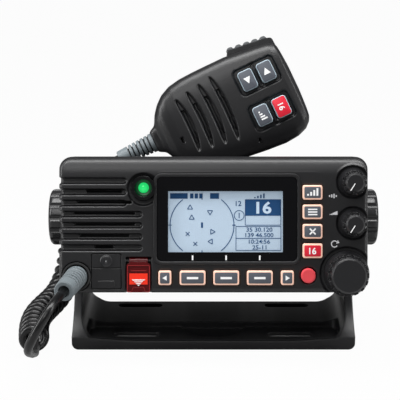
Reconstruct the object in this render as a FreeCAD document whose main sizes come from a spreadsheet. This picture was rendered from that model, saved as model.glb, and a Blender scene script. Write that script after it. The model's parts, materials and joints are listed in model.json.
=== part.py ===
import FreeCAD, Part
import math
import os

from FreeCAD import Placement, Rotation, Vector

os.makedirs("parts", exist_ok=True)
doc = FreeCAD.newDocument("marine_radio")

# Driving dimensions in millimetres and degrees
SIZES = [
    ("panel_width", 180.0), ("panel_height", 79.2), ("panel_depth", 24.0), ("panel_corner", 7.0),
    ("panel_wall", 3.0), ("panel_front", 60.0), ("top_band", 11.5), ("top_band_drop", 4.0),
    ("zone_rise", 0.8), ("zone_left", -35.1), ("zone_right", 64.9), ("zone_top", 30.8),
    ("zone_bottom", -37.0), ("zone_corner", 6.0),
    ("chassis_inset", 10.0), ("chassis_height", 66.0), ("chassis_depth", 108.0),
    ("chassis_wall", 3.0), ("chassis_chamfer", 9.0), ("fin_depth", 20.0), ("fin_gap", 4.2),
    ("fin_pitch", 8.6), ("boss_radius", 9.0),
    ("pivot_rise", 1.2), ("pivot_height", 71.5), ("pivot_back", 8.0), ("tilt_angle", 12.0),
    ("bracket_clearance", 1.0), ("arm_thick", 5.0), ("base_depth", 72.0), ("base_thick", 5.5),
    ("strap_corner", 13.0), ("arm_boss", 17.5), ("rim_high", 8.0), ("rim_low", 4.2),
    ("rim_width", 3.0), ("floor_depth", 3.3), ("floor_length", 30.0), ("slot_length", 29.0),
    ("slot_width", 6.5), ("slot_spread", 96.0), ("slot_rear_y", 28.0), ("slot_front_y", -16.0),
    ("scoop_radius", 20.0), ("scoop_depth", 1.0),
    ("clamp_radius", 17.5), ("clamp_length", 16.0), ("clamp_flutes", 14.0), ("stud_radius", 3.0),
    ("stud_clearance", 0.05), ("arm_hole_clearance", 0.3), ("washer_radius", 12.0),
    ("side_gap", 0.2),
    ("grille_pitch", 6.5), ("grille_top", 25.7), ("channel_height", 3.4), ("channel_depth", 1.6),
    ("channel_right", -41.5), ("channel_short", -50.5), ("opening_height", 1.7),
    ("speaker_inset", 26.4), ("speaker_z", 4.7), ("speaker_radius", 18.0), ("speaker_depth", 14.0),
    ("lamp_x", -40.7), ("lamp_z", 21.6), ("lamp_outer", 7.0), ("lamp_inner", 5.0),
    ("lamp_rise", 3.0), ("lamp_dome", 3.1),
    ("window_x", 7.9), ("window_z", 3.5), ("window_width", 81.4), ("window_height", 50.0),
    ("window_thick", 2.2), ("window_corner", 4.0), ("lcd_width", 72.0), ("lcd_height", 42.0),
    ("lcd_thick", 4.0),
    ("key_travel", 0.8), ("key_rise", 1.6), ("key_gap", 0.3), ("key_stem", 5.0), ("key_corner", 1.2),
    ("side_key_x", 57.5), ("side_key_top", 19.0), ("side_key_pitch", 11.3), ("side_key_width", 11.5),
    ("side_key_height", 8.4), ("power_x", 55.1), ("power_z", -29.4), ("power_radius", 4.3),
    ("row_key_z", -30.6), ("row_key_height", 8.3), ("soft_first", -12.1), ("soft_pitch", 19.5),
    ("soft_width", 15.0), ("arrow_width", 7.5), ("arrow_left_x", -28.2), ("arrow_right_x", 42.9),
    ("knob_inset", 8.8), ("squelch_z", 25.0), ("volume_z", 1.0), ("knob_skirt", 8.1), ("knob_cap", 5.5),
    ("knob_height", 14.0), ("skirt_height", 5.0), ("knob_well", 9.4), ("well_depth", 1.5),
    ("knob_float", 0.6), ("shaft_radius", 3.0), ("shaft_clearance", 0.05),
    ("dial_inset", 12.5), ("dial_z", -28.3), ("dial_skirt", 13.1), ("dial_cap", 10.2),
    ("dial_height", 14.5), ("dial_well", 15.3), ("dial_push", 0.8),
    ("socket_inset", 10.3), ("socket_z", -30.1), ("socket_outer", 8.3), ("socket_inner", 7.3),
    ("socket_rise", 1.6), ("boot_root", 6.6), ("boot_end", 5.6), ("boot_length", 28.5),
    ("service_x", -62.4), ("service_z", -27.0), ("service_width", 17.3), ("service_height", 20.3),
    ("flap_x", -43.6), ("flap_top", -22.4), ("flap_bottom", -39.0), ("flap_width", 13.7),
    ("flap_thick", 1.6), ("flap_pin", 0.9), ("distress_width", 10.5), ("distress_height", 6.4),
    ("handset_length", 96.3), ("handset_half", 29.3), ("handset_top_half", 26.2), ("handset_low_half", 36.2),
    ("handset_thick", 32.0), ("handset_lean", 25.4), ("handset_neck_x", -37.3),
    ("handset_seat", 0.3), ("handset_edge", 4.0),
    ("cord_radius", 2.5), ("curl_radius", 6.9), ("curl_pitch", 7.3),
]

sheet = doc.addObject("Spreadsheet::Sheet", "Sizes")
for row, (alias, value) in enumerate(SIZES, start=1):
    sheet.set("A%d" % row, alias)
    sheet.set("B%d" % row, str(value))
    sheet.setAlias("B%d" % row, alias)
doc.recompute()


def size(alias):
    """Read one driving dimension from the sheet."""
    return float(sheet.get(alias))


PARTS = []

# The radio's own frame has its origin at the middle of the panel's height, above the clamp axis
TILT = Rotation(Vector(1, 0, 0), -size("tilt_angle"))
PIVOT = Vector(0, size("pivot_back"), size("pivot_height"))
RADIO = Placement(PIVOT - TILT.multVec(Vector(0, 0, size("pivot_rise"))), TILT)
WORLD = Placement()
FRONT = -size("panel_front")
BACK = FRONT + size("panel_depth")
FACE = FRONT - size("zone_rise")
HALF_PANEL = size("panel_height") / 2
HALF_WIDTH = size("panel_width") / 2
CHASSIS_TOP = size("chassis_height") / 2
CHASSIS_SIDE = HALF_WIDTH - size("chassis_inset")
KNOB_X = HALF_WIDTH - size("knob_inset")
DIAL_X = HALF_WIDTH - size("dial_inset")
SOCKET_X = size("socket_inset") - HALF_WIDTH
SPEAKER_X = size("speaker_inset") - HALF_WIDTH


def keep(item, label, placement=RADIO):
    """Name a finished sub-part and put it in its place on the radio or the bracket."""
    item.Label = label
    item.Placement = placement * item.Placement
    PARTS.append(item)
    return item


# Outlines drawn in a sketch's own plane
def line(start, end):
    return Part.LineSegment(Vector(start[0], start[1], 0), Vector(end[0], end[1], 0))


def arc(start, middle, end):
    return Part.Arc(*[Vector(point[0], point[1], 0) for point in (start, middle, end)])


def polygon(points):
    return [line(points[i], points[(i + 1) % len(points)]) for i in range(len(points))]


def rounded(x, z, width, height, radius):
    """A rectangle about x, z with round corners, as four lines and four arcs."""
    left, right, low, high = x - width / 2, x + width / 2, z - height / 2, z + height / 2
    diagonal = radius * (1 - math.sqrt(0.5))
    return [
        line((left + radius, low), (right - radius, low)),
        arc((right - radius, low), (right - diagonal, low + diagonal), (right, low + radius)),
        line((right, low + radius), (right, high - radius)),
        arc((right, high - radius), (right - diagonal, high - diagonal), (right - radius, high)),
        line((right - radius, high), (left + radius, high)),
        arc((left + radius, high), (left + diagonal, high - diagonal), (left, high - radius)),
        line((left, high - radius), (left, low + radius)),
        arc((left, low + radius), (left + diagonal, low + diagonal), (left + radius, low)),
    ]


def ring(x, z, radius):
    return [Part.Circle(Vector(x, z, 0), Vector(0, 0, 1), radius)]


def new_body(name):
    return doc.addObject("PartDesign::Body", name)


def plane_of(body, role):
    return [item for item in body.Origin.OriginFeatures if item.Role == role][0]


def draw(body, name, outlines, role="XZ_Plane", offset=0.0):
    """A sketch on one of the body's planes; on the front plane the offset runs towards the viewer."""
    sketch = body.newObject("Sketcher::SketchObject", name)
    sketch.AttachmentSupport = (plane_of(body, role), [""])
    sketch.MapMode = "FlatFace"
    sketch.AttachmentOffset = Placement(Vector(0, 0, offset), Rotation())
    for outline in outlines:
        sketch.addGeometry(outline, False)
    return sketch


def pad(body, name, outlines, length, role="XZ_Plane", offset=0.0, midplane=False):
    """Pad a sketch; length is an expression on the sheet or a number."""
    sketch = draw(body, name + "_sketch", outlines, role, offset)
    feature = body.newObject("PartDesign::Pad", name)
    feature.Profile = sketch
    feature.Midplane = midplane
    bind(feature, "Length", length)
    doc.recompute()
    return feature


def pocket(body, name, outlines, length, role="XZ_Plane", offset=0.0, midplane=False,
           forwards=False):
    """Cut a sketch into the body; a front sketch cuts towards the back."""
    sketch = draw(body, name + "_sketch", outlines, role, offset)
    feature = body.newObject("PartDesign::Pocket", name)
    feature.Profile = sketch
    feature.Midplane = midplane
    feature.Reversed = forwards
    bind(feature, "Length", length)
    before = body.Shape.Volume
    doc.recompute()
    if body.Shape.Volume >= before:
        raise ValueError(name + " cuts nothing")
    return feature


def bind(feature, quantity, length):
    """Tie a feature's size to the sheet, or set a worked out number."""
    if isinstance(length, str):
        feature.setExpression(quantity, length)
    else:
        setattr(feature, quantity, length)


def revolve(body, name, outline):
    """Revolve an outline of (distance along the axis, radius) points about the front axis."""
    sketch = body.newObject("Sketcher::SketchObject", name + "_sketch")
    sketch.AttachmentSupport = (plane_of(body, "YZ_Plane"), [""])
    sketch.MapMode = "FlatFace"
    sketch.addGeometry(outline, False)
    feature = body.newObject("PartDesign::Revolution", name)
    feature.Profile = sketch
    feature.ReferenceAxis = (sketch, ["H_Axis"])
    feature.Angle = 360.0
    doc.recompute()
    return feature


def cylinder(name, x, y, z, radius, length, axis=Vector(0, -1, 0)):
    """A round bar that starts at x, y, z and runs along the axis, as a Part primitive."""
    bar = doc.addObject("Part::Cylinder", name)
    bind(bar, "Radius", radius)
    bind(bar, "Height", length)
    bar.Placement = Placement(Vector(x, y, z), Rotation(Vector(0, 0, 1), axis))
    return bar


def block(name, x, y, z, width, depth, height):
    """A box from its lowest corner, as a Part primitive."""
    box = doc.addObject("Part::Box", name)
    bind(box, "Length", width)
    bind(box, "Width", depth)
    bind(box, "Height", height)
    box.Placement = Placement(Vector(x, y, z), Rotation())
    return box


def cut(name, base, *tools):
    """Base without the tools."""
    tool = tools[0]
    if len(tools) > 1:
        tool = fuse(name + "_tools", *tools)
    result = doc.addObject("Part::Cut", name)
    result.Base = base
    result.Tool = tool
    return result


def fuse(name, *pieces):
    result = doc.addObject("Part::MultiFuse", name)
    result.Shapes = list(pieces)
    return result


def feature(name, shape):
    """A worked out shape as a feature of the document."""
    item = doc.addObject("Part::Feature", name)
    item.Shape = shape
    return item


def solid_between(outline, near, far):
    """A prism over an outline in the front plane, from y near to y far."""
    edges = [curve.toShape() for curve in outline]
    face = Part.Face(Part.Wire(Part.__sortEdges__(edges)))
    upright = Rotation(Vector(1, 0, 0), 90)
    face.Placement = Placement(Vector(0, near, 0), upright)
    return face.extrude(Vector(0, far - near, 0))


# Mounting bracket: a U strap with a recessed front floor, a bowed front rim and four deck slots
HALF_INNER = CHASSIS_SIDE + size("bracket_clearance")
HALF_OUTER = HALF_INNER + size("arm_thick")
HALF_BASE = size("base_depth") / 2
ARM_TOP = size("pivot_height") + size("arm_boss")
PIVOT_Y = size("pivot_back")
CORNER = size("strap_corner")
OUTER_CORNER = 4.0

inner_sag = CORNER * (1 - math.sqrt(0.5))
outer_sag = OUTER_CORNER * (1 - math.sqrt(0.5))
base_top = size("base_thick")
u_outline = [
    line((-HALF_OUTER, ARM_TOP), (-HALF_OUTER, OUTER_CORNER)),
    arc((-HALF_OUTER, OUTER_CORNER), (-HALF_OUTER + outer_sag, outer_sag), (-HALF_OUTER + OUTER_CORNER, 0)),
    line((-HALF_OUTER + OUTER_CORNER, 0), (HALF_OUTER - OUTER_CORNER, 0)),
    arc((HALF_OUTER - OUTER_CORNER, 0), (HALF_OUTER - outer_sag, outer_sag), (HALF_OUTER, OUTER_CORNER)),
    line((HALF_OUTER, OUTER_CORNER), (HALF_OUTER, ARM_TOP)),
    line((HALF_OUTER, ARM_TOP), (HALF_INNER, ARM_TOP)),
    line((HALF_INNER, ARM_TOP), (HALF_INNER, base_top + CORNER)),
    arc((HALF_INNER, base_top + CORNER), (HALF_INNER - inner_sag, base_top + inner_sag),
        (HALF_INNER - CORNER, base_top)),
    line((HALF_INNER - CORNER, base_top), (CORNER - HALF_INNER, base_top)),
    arc((CORNER - HALF_INNER, base_top), (inner_sag - HALF_INNER, base_top + inner_sag),
        (-HALF_INNER, base_top + CORNER)),
    line((-HALF_INNER, base_top + CORNER), (-HALF_INNER, ARM_TOP)),
    line((-HALF_INNER, ARM_TOP), (-HALF_OUTER, ARM_TOP)),
]
bracket = new_body("bracket")
pad(bracket, "strap", [u_outline], "Sizes.base_depth", offset=-HALF_BASE)
boss_front = PIVOT_Y - size("arm_boss")
boss_back = PIVOT_Y + size("arm_boss")
pivot_z = size("pivot_height")
waist_z = 0.66 * pivot_z
arm_side = [
    line((-HALF_BASE, 0), (HALF_BASE, 0)),
    line((HALF_BASE, 0), (HALF_BASE, size("rim_high"))),
    arc((HALF_BASE, size("rim_high")), ((HALF_BASE + boss_back) / 2 - 3, 0.3 * pivot_z), (boss_back, waist_z)),
    line((boss_back, waist_z), (boss_back, pivot_z)),
    arc((boss_back, pivot_z), (PIVOT_Y, ARM_TOP), (boss_front, pivot_z)),
    line((boss_front, pivot_z), (boss_front, waist_z)),
    arc((boss_front, waist_z), ((boss_front - HALF_BASE) / 2 + 3, 0.3 * pivot_z), (-HALF_BASE, size("rim_high"))),
    line((-HALF_BASE, size("rim_high")), (-HALF_BASE, 0)),
]
margin = 20.0
frame_outline = polygon([(-HALF_BASE - margin, -margin), (HALF_BASE + margin, -margin),
                         (HALF_BASE + margin, ARM_TOP + margin), (-HALF_BASE - margin, ARM_TOP + margin)])
pocket(bracket, "arm_sides", [frame_outline, arm_side], 2 * HALF_OUTER + margin,
       role="YZ_Plane", midplane=True)
rim_reach = HALF_OUTER - OUTER_CORNER
rim = [
    line((-rim_reach, 0), (rim_reach, 0)),
    line((rim_reach, 0), (rim_reach, size("rim_high"))),
    arc((rim_reach, size("rim_high")), (0, size("rim_low")), (-rim_reach, size("rim_high"))),
    line((-rim_reach, size("rim_high")), (-rim_reach, 0)),
]
floor_z = size("base_thick") - size("floor_depth")
floor_near = -HALF_BASE + size("rim_width")
floor_far = floor_near + size("floor_length")
pocket(bracket, "front_floor",
       [rounded(0, (floor_near + floor_far) / 2, 2 * HALF_INNER - 6, size("floor_length"), 7.0)],
       size("floor_depth") + margin, role="XY_Plane", offset=size("base_thick") + margin)
pad(bracket, "front_rim", [rim], "Sizes.rim_width", offset=HALF_BASE - size("rim_width"))
slots = []
for slot_y in (size("slot_rear_y"), size("slot_front_y")):
    for side in (-1, 1):
        slots.append(rounded(side * size("slot_spread") / 2, slot_y, size("slot_length"),
                             size("slot_width"), size("slot_width") / 2 - 0.01))
pocket(bracket, "deck_slots", slots, 3 * base_top, role="XY_Plane", offset=2 * base_top)
scoop = [
    line((-size("scoop_radius"), floor_far), (size("scoop_radius"), floor_far)),
    arc((size("scoop_radius"), floor_far), (0, floor_far - 0.9 * size("scoop_radius")),
        (-size("scoop_radius"), floor_far)),
]
pocket(bracket, "front_scoop", [scoop], "Sizes.scoop_depth", role="XY_Plane", offset=floor_z)
pocket(bracket, "clamp_holes", [ring(PIVOT_Y, pivot_z, size("stud_radius") + size("arm_hole_clearance"))],
       2 * HALF_OUTER + margin, role="YZ_Plane", midplane=True)
keep(bracket, "bracket", WORLD)

# Clamp knobs with moulded-in studs, and the friction washers between arm and chassis
flutes = int(size("clamp_flutes"))


def clamp_knob(side, label):
    """A drum with a rounded outer edge and pill-shaped finger scallops along its rim."""
    radius, length = size("clamp_radius"), size("clamp_length")
    inner = HALF_OUTER + size("side_gap")
    crown = 3.0
    profile = [
        Vector(inner, 0, size("stud_radius")), Vector(inner, 0, radius - 1.5),
        Vector(inner + 1.5, 0, radius), Vector(inner + length - crown, 0, radius),
    ]
    rim_mid = Vector(inner + length - crown * 0.29, 0, radius - crown * 0.29)
    rim_end = Vector(inner + length, 0, radius - crown)
    bottom = Vector(inner + length, 0, 0)
    core = Vector(inner + 10, 0, 0)
    blind = Vector(inner + 10, 0, size("stud_radius"))
    edges = [Part.makeLine(profile[i], profile[i + 1]) for i in range(3)]
    edges.append(Part.Arc(profile[3], rim_mid, rim_end).toShape())
    edges += [Part.makeLine(rim_end, bottom), Part.makeLine(bottom, core),
              Part.makeLine(core, blind), Part.makeLine(blind, profile[0])]
    drum = Part.Face(Part.Wire(edges)).revolve(Vector(), Vector(1, 0, 0), 360)
    scallop_radius = 2.6
    pieces = []
    for index in range(flutes):
        angle = 2 * math.pi * (index + 0.5) / flutes
        reach = radius + scallop_radius * 0.55
        start = Vector(inner + 4.5, reach * math.cos(angle), reach * math.sin(angle))
        pieces.append(Part.makeCylinder(scallop_radius, length, start, Vector(1, 0, 0)))
    drum = drum.cut(Part.makeCompound(pieces))
    if side < 0:
        drum = drum.mirror(Vector(), Vector(1, 0, 0))
    item = feature(label, drum.Solids[0])
    keep(item, label, Placement(PIVOT, Rotation()))


def clamp_stud(side, label):
    """A plain stud with a chamfered point, from the knob into the side boss."""
    tip = CHASSIS_SIDE - 8.0
    end = HALF_OUTER + size("side_gap") + 10.0
    rod = Part.makeCylinder(size("stud_radius"), end - tip - 1.0, Vector(tip + 1.0, 0, 0), Vector(1, 0, 0))
    point = Part.makeCone(size("stud_radius") - 1.0, size("stud_radius"), 1.0, Vector(tip, 0, 0),
                          Vector(1, 0, 0))
    stud = rod.fuse(point).removeSplitter()
    if side < 0:
        stud = stud.mirror(Vector(), Vector(1, 0, 0))
    keep(feature(label, stud.Solids[0]), label, Placement(PIVOT, Rotation()))


for side, word in ((-1, "left"), (1, "right")):
    clamp_knob(side, "clamp_knob_" + word)
    clamp_stud(side, "clamp_stud_" + word)

washers = []
for side in (-1, 1):
    near = side * CHASSIS_SIDE
    width = HALF_INNER - CHASSIS_SIDE
    disc = Part.makeCylinder(size("washer_radius"), width, Vector(near, 0, size("pivot_rise")), Vector(side, 0, 0))
    hole = Part.makeCylinder(size("stud_radius") + size("arm_hole_clearance"), width,
                             Vector(near, 0, size("pivot_rise")), Vector(side, 0, 0))
    washers.append(disc.cut(hole))
keep(feature("friction_washers", Part.makeCompound(washers)), "friction_washers")

# Die-cast chassis: a tray open to the front with cooling fins at the back and bosses for the studs
chassis = new_body("chassis")
chamfer = size("chassis_chamfer")
low = -CHASSIS_TOP
chassis_outline = polygon([
    (-CHASSIS_SIDE, low + 3), (-CHASSIS_SIDE + 3, low), (CHASSIS_SIDE - 3, low), (CHASSIS_SIDE, low + 3),
    (CHASSIS_SIDE, CHASSIS_TOP - chamfer), (CHASSIS_SIDE - chamfer, CHASSIS_TOP),
    (-CHASSIS_SIDE + chamfer, CHASSIS_TOP), (-CHASSIS_SIDE, CHASSIS_TOP - chamfer),
])
chassis_back = BACK + size("chassis_depth")
wall = size("chassis_wall")
pad(chassis, "casting", [chassis_outline], "Sizes.chassis_depth", offset=-chassis_back)
inner_side, inner_top = CHASSIS_SIDE - wall, CHASSIS_TOP - wall
cavity_outline = polygon([
    (-inner_side, -inner_top), (inner_side, -inner_top), (inner_side, inner_top - chamfer),
    (inner_side - chamfer, inner_top), (-inner_side + chamfer, inner_top), (-inner_side, inner_top - chamfer),
])
cavity_depth = size("chassis_depth") - size("fin_depth") - 2 * wall
pocket(chassis, "cavity", [cavity_outline], cavity_depth, offset=-BACK)
board_z = -22.0
posts = [ring(x, y, 3.0) for x in (-60, 60) for y in (BACK + 12, BACK + 62)]
pad(chassis, "board_posts", posts, board_z + inner_top, role="XY_Plane", offset=-inner_top)
boss_length = 10.0
for side in (-1, 1):
    sketch_offset = side * CHASSIS_SIDE - (boss_length if side > 0 else 0)
    pad(chassis, "boss_left" if side < 0 else "boss_right",
        [ring(0, size("pivot_rise"), size("boss_radius"))], boss_length, role="YZ_Plane", offset=sketch_offset)
hole_radius = size("stud_radius") + size("stud_clearance")
pocket(chassis, "stud_holes", [ring(0, size("pivot_rise"), hole_radius)],
       2 * CHASSIS_SIDE + margin, role="YZ_Plane", midplane=True)
# The stud holes stop inside the bosses, so only the two ends of that bore lie in metal
fin_gaps = []
fin_count = int((2 * CHASSIS_SIDE - 16) / size("fin_pitch"))
for index in range(fin_count):
    centre = (index - (fin_count - 1) / 2) * size("fin_pitch")
    if abs(centre) < 14 or abs(abs(centre) - 55) < 12:
        continue
    fin_gaps.append(polygon([
        (centre - size("fin_gap") / 2, low - margin), (centre + size("fin_gap") / 2, low - margin),
        (centre + size("fin_gap") / 2, CHASSIS_TOP + margin), (centre - size("fin_gap") / 2, CHASSIS_TOP + margin),
    ]))
pocket(chassis, "fins", fin_gaps, size("fin_depth") + margin, offset=-(chassis_back - size("fin_depth")))
keep(chassis, "chassis")

# Rear fittings: antenna socket, data socket and power inlet on plain lands between the fins
SOCKET_Z = 6.0
DATA_X = 55.0


def rear_round(label, x, z, steps, bore_radius, bore_depth):
    """A turned fitting on the back: steps of (length, radius) with a bore in its end."""
    y = chassis_back
    turned = None
    for length, radius in steps:
        piece = Part.makeCylinder(radius, length, Vector(x, y, z), Vector(0, 1, 0))
        turned = piece if turned is None else turned.fuse(piece)
        y += length
    turned = turned.cut(Part.makeCylinder(bore_radius, bore_depth, Vector(x, y, z), Vector(0, -1, 0)))
    return turned


antenna = rear_round("antenna_socket", 0, SOCKET_Z, ((2.0, 12.0), (13.0, 7.9)), 5.6, 9.0)
contact = Part.makeCylinder(2.6, 8.0, Vector(0, chassis_back + 6.0, SOCKET_Z), Vector(0, 1, 0))
contact = contact.cut(Part.makeCylinder(2.0, 7.0, Vector(0, chassis_back + 14.0, SOCKET_Z), Vector(0, -1, 0)))
keep(feature("antenna_socket", antenna.fuse(contact).removeSplitter()), "antenna_socket")
data = rear_round("data_socket", DATA_X, SOCKET_Z, ((1.6, 9.5), (7.0, 7.5)), 6.0, 6.0)
keep(feature("data_socket", data.removeSplitter()), "data_socket")
power = rear_round("power_inlet", -DATA_X, SOCKET_Z, ((1.6, 8.5), (8.0, 6.0)), 3.2, 7.0)
keep(feature("power_inlet", power.removeSplitter()), "power_inlet")

# Front housing: a deep bezel whose top edge rolls back, with the grille, wells and openings
CHANNELS = 7
housing = new_body("front_housing")
pad(housing, "shell_block", [rounded(0, 0, size("panel_width"), size("panel_height"), size("panel_corner"))],
    "Sizes.panel_depth", offset=-BACK)
band = size("top_band")
drop = size("top_band_drop")
roll = [
    line((FRONT - margin, HALF_PANEL + margin), (FRONT - margin, HALF_PANEL - band)),
    line((FRONT - margin, HALF_PANEL - band), (FRONT, HALF_PANEL - band)),
    arc((FRONT, HALF_PANEL - band), (FRONT + 0.22 * drop, HALF_PANEL - 0.42 * band), (FRONT + drop, HALF_PANEL)),
    line((FRONT + drop, HALF_PANEL), (FRONT + drop, HALF_PANEL + margin)),
    line((FRONT + drop, HALF_PANEL + margin), (FRONT - margin, HALF_PANEL + margin)),
]
pocket(housing, "rolled_top", [roll], size("panel_width") + margin, role="YZ_Plane", midplane=True)
inner_wall = size("panel_wall")
floor_y = FRONT + drop + inner_wall
lip = 6.0
opening_width = 2 * CHASSIS_SIDE + 4.4
opening_height = size("chassis_height") + 2.4
pocket(housing, "hollow",
       [rounded(0, 0, size("panel_width") - 2 * inner_wall, size("panel_height") - 2 * inner_wall,
                size("panel_corner") - inner_wall + 1)],
       BACK - lip - floor_y, offset=-BACK + lip, forwards=True)
pocket(housing, "back_opening", [rounded(0, 0, opening_width, opening_height, 5.2)], lip + 1.0, offset=-BACK,
       forwards=True)
zone_x = (size("zone_left") + size("zone_right")) / 2
zone_z = (size("zone_top") + size("zone_bottom")) / 2
zone_width = size("zone_right") - size("zone_left")
zone_height = size("zone_top") - size("zone_bottom")
pad(housing, "key_zone", [rounded(zone_x, zone_z, zone_width, zone_height, size("zone_corner"))],
    size("zone_rise") + 3.0, offset=-FRONT - 3.0)
for index in range(CHANNELS):
    channel_z = size("grille_top") - index * size("grille_pitch")
    right = size("channel_short") if index < 3 else size("channel_right")
    left = -HALF_WIDTH - margin
    pocket(housing, "channel_%d" % index,
           [rounded((left + right) / 2, channel_z, right - left, size("channel_height"),
                    size("channel_height") / 2 - 0.05)],
           "Sizes.channel_depth", offset=-FRONT)
slit_outlines = []
for index in range(1, CHANNELS):
    channel_z = size("grille_top") - index * size("grille_pitch")
    slit_z = channel_z + (size("channel_height") - size("opening_height")) / 2
    reach_squared = size("speaker_radius") ** 2 - (slit_z - size("speaker_z")) ** 2
    if reach_squared < 9:
        continue
    half_length = math.sqrt(reach_squared)
    slit_outlines.append(rounded(SPEAKER_X, slit_z, 2 * half_length, size("opening_height"),
                                 size("opening_height") / 2 - 0.05))
through = 2 * size("panel_depth")
pocket(housing, "slits", slit_outlines, through, offset=-FACE + 1)
pocket(housing, "lamp_opening", [ring(size("lamp_x"), size("lamp_z"), size("lamp_outer") + 0.2)],
       through, offset=-FACE + 1)
pocket(housing, "knob_wells",
       [ring(KNOB_X, size("squelch_z"), size("knob_well")),
        ring(KNOB_X, size("volume_z"), size("knob_well"))],
       "Sizes.well_depth", offset=-FRONT)
pocket(housing, "dial_well", [ring(DIAL_X, size("dial_z"), size("dial_well"))],
       "Sizes.well_depth + Sizes.zone_rise", offset=-FACE)
shaft_hole = size("shaft_radius") + 0.4
pocket(housing, "shaft_holes",
       [ring(KNOB_X, size("squelch_z"), shaft_hole), ring(KNOB_X, size("volume_z"), shaft_hole),
        ring(DIAL_X, size("dial_z"), shaft_hole)], through, offset=-FACE + 1)
pocket(housing, "window_opening",
       [rounded(size("window_x"), size("window_z"), size("window_width") - 4, size("window_height") - 4, 3.0)],
       through, offset=-FACE + 1)
pocket(housing, "window_seat",
       [rounded(size("window_x"), size("window_z"), size("window_width"), size("window_height"),
                size("window_corner"))], "Sizes.window_thick", offset=-FACE)

# Keys: name, centre, width and height; their openings share the same values
KEYS = [("key_power_level", size("side_key_x"), size("side_key_top"), size("side_key_width"),
         size("side_key_height"))]
for index, name in enumerate(("key_menu", "key_clear", "key_sixteen"), start=1):
    KEYS.append((name, size("side_key_x"), size("side_key_top") - index * size("side_key_pitch"),
                 size("side_key_width"), size("side_key_height")))
KEYS.append(("key_left", size("arrow_left_x"), size("row_key_z"), size("arrow_width"), size("row_key_height")))
for index in range(3):
    KEYS.append(("key_soft_%d" % (index + 1), size("soft_first") + index * size("soft_pitch"),
                 size("row_key_z"), size("soft_width"), size("row_key_height")))
KEYS.append(("key_right", size("arrow_right_x"), size("row_key_z"), size("arrow_width"), size("row_key_height")))
gap = size("key_gap")
pocket(housing, "key_openings",
       [rounded(x, z, width + 2 * gap, height + 2 * gap, size("key_corner") + gap)
        for name, x, z, width, height in KEYS] + [ring(size("power_x"), size("power_z"), size("power_radius") + gap)],
       through, offset=-FACE + 1)
pocket(housing, "socket_opening", [ring(SOCKET_X, size("socket_z"), size("socket_outer") + 0.1)],
       size("socket_rise") + 2.0, offset=-FRONT)
service_left = size("service_x") - size("service_width") / 2
pocket(housing, "service_recess",
       [polygon([(service_left, size("service_z") - size("service_height") / 2),
                 (service_left + size("service_width"), size("service_z") - size("service_height") / 2),
                 (service_left + size("service_width"), size("service_z") + size("service_height") / 2),
                 (service_left, size("service_z") + size("service_height") / 2)])],
       2.2, offset=-FRONT)
recess_half = size("flap_width") / 2 + 0.7
pocket(housing, "distress_recess",
       [polygon([(size("flap_x") - recess_half, -HALF_PANEL - margin), (size("flap_x") + recess_half, -HALF_PANEL - margin),
                 (size("flap_x") + recess_half, size("flap_top") + 3.8), (size("flap_x") - recess_half, size("flap_top") + 3.8)])],
       4.6, offset=-FRONT)
button_z = size("flap_bottom") + 7.3
pocket(housing, "distress_opening",
       [rounded(size("flap_x"), button_z, size("distress_width") + 2 * gap, size("distress_height") + 2 * gap,
                1.2)],
       through, offset=-FACE + 1)
ridges = []
for index in range(3):
    ridges.append(rounded(size("side_key_x"), size("side_key_top") - (index + 0.5) * size("side_key_pitch"),
                          size("side_key_width"), 1.0, 0.45))
for index in range(4):
    ridges.append(rounded(size("soft_first") + (index - 0.5) * size("soft_pitch"), size("row_key_z"),
                          1.4, size("row_key_height"), 0.6))
pad(housing, "key_ridges", ridges, 0.6, offset=-FACE)
keep(housing, "front_housing")

# Gasket between housing and chassis
gasket_thick = 1.5
seat_outer = solid_between(rounded(0, 0, 2 * CHASSIS_SIDE + 4, size("chassis_height") + 2, 5.0),
                           BACK - gasket_thick, BACK)
seat_inner = solid_between(rounded(0, 0, 2 * CHASSIS_SIDE - 2 * wall, size("chassis_height") - 2 * wall, 3.0),
                           BACK - gasket_thick - 1, BACK + 1)
keep(feature("front_gasket", seat_outer.cut(seat_inner)), "front_gasket")

# Display window and the screen module behind it
window = new_body("display_window")
pad(window, "glass", [rounded(size("window_x"), size("window_z"), size("window_width") - 0.2,
                              size("window_height") - 0.2, size("window_corner") - 0.1)],
    "Sizes.window_thick", offset=-FACE - size("window_thick"))
keep(window, "display_window")
lcd_front = FACE + size("window_thick") + 0.1
screen = block("screen_block", size("window_x") - size("lcd_width") / 2, lcd_front,
               size("window_z") - size("lcd_height") / 2 - 1.8, "Sizes.lcd_width", "Sizes.lcd_thick", "Sizes.lcd_height")
keep(screen, "lcd_module")

# Boards
board_y = FACE + 15.0
front_board = new_body("front_board")
pad(front_board, "front_sheet", [rounded(0, 0, 2 * HALF_WIDTH - 30, 2 * HALF_PANEL - 17.2, 2.0)], 1.6,
    offset=-board_y - 1.6)
control_places = [(KNOB_X, size("squelch_z")), (KNOB_X, size("volume_z")), (DIAL_X, size("dial_z"))]
keep(front_board, "front_board")
main_board = block("main_board", 12 - CHASSIS_SIDE, BACK + 2, board_z, 2 * CHASSIS_SIDE - 24, 70, 1.6)
keep(main_board, "main_board")

# Loudspeaker: a revolved basket and magnet behind the grille, with its dust mesh
speaker_front = floor_y + 0.6
speaker = new_body("speaker")
basket = size("speaker_radius")
depth = board_y - speaker_front - 0.4
revolve(speaker, "basket", polygon([(0, 0), (0, basket), (1.4, basket), (0.5 * depth, 0.62 * basket),
                                    (0.5 * depth, 0.5 * basket), (depth, 0.5 * basket), (depth, 0)]))
keep(speaker, "speaker", RADIO * Placement(Vector(SPEAKER_X, speaker_front, size("speaker_z")), Rotation()))
mesh = cylinder("mesh_disc", SPEAKER_X, speaker_front, size("speaker_z"), basket, 0.5)
keep(mesh, "speaker_mesh")

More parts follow.
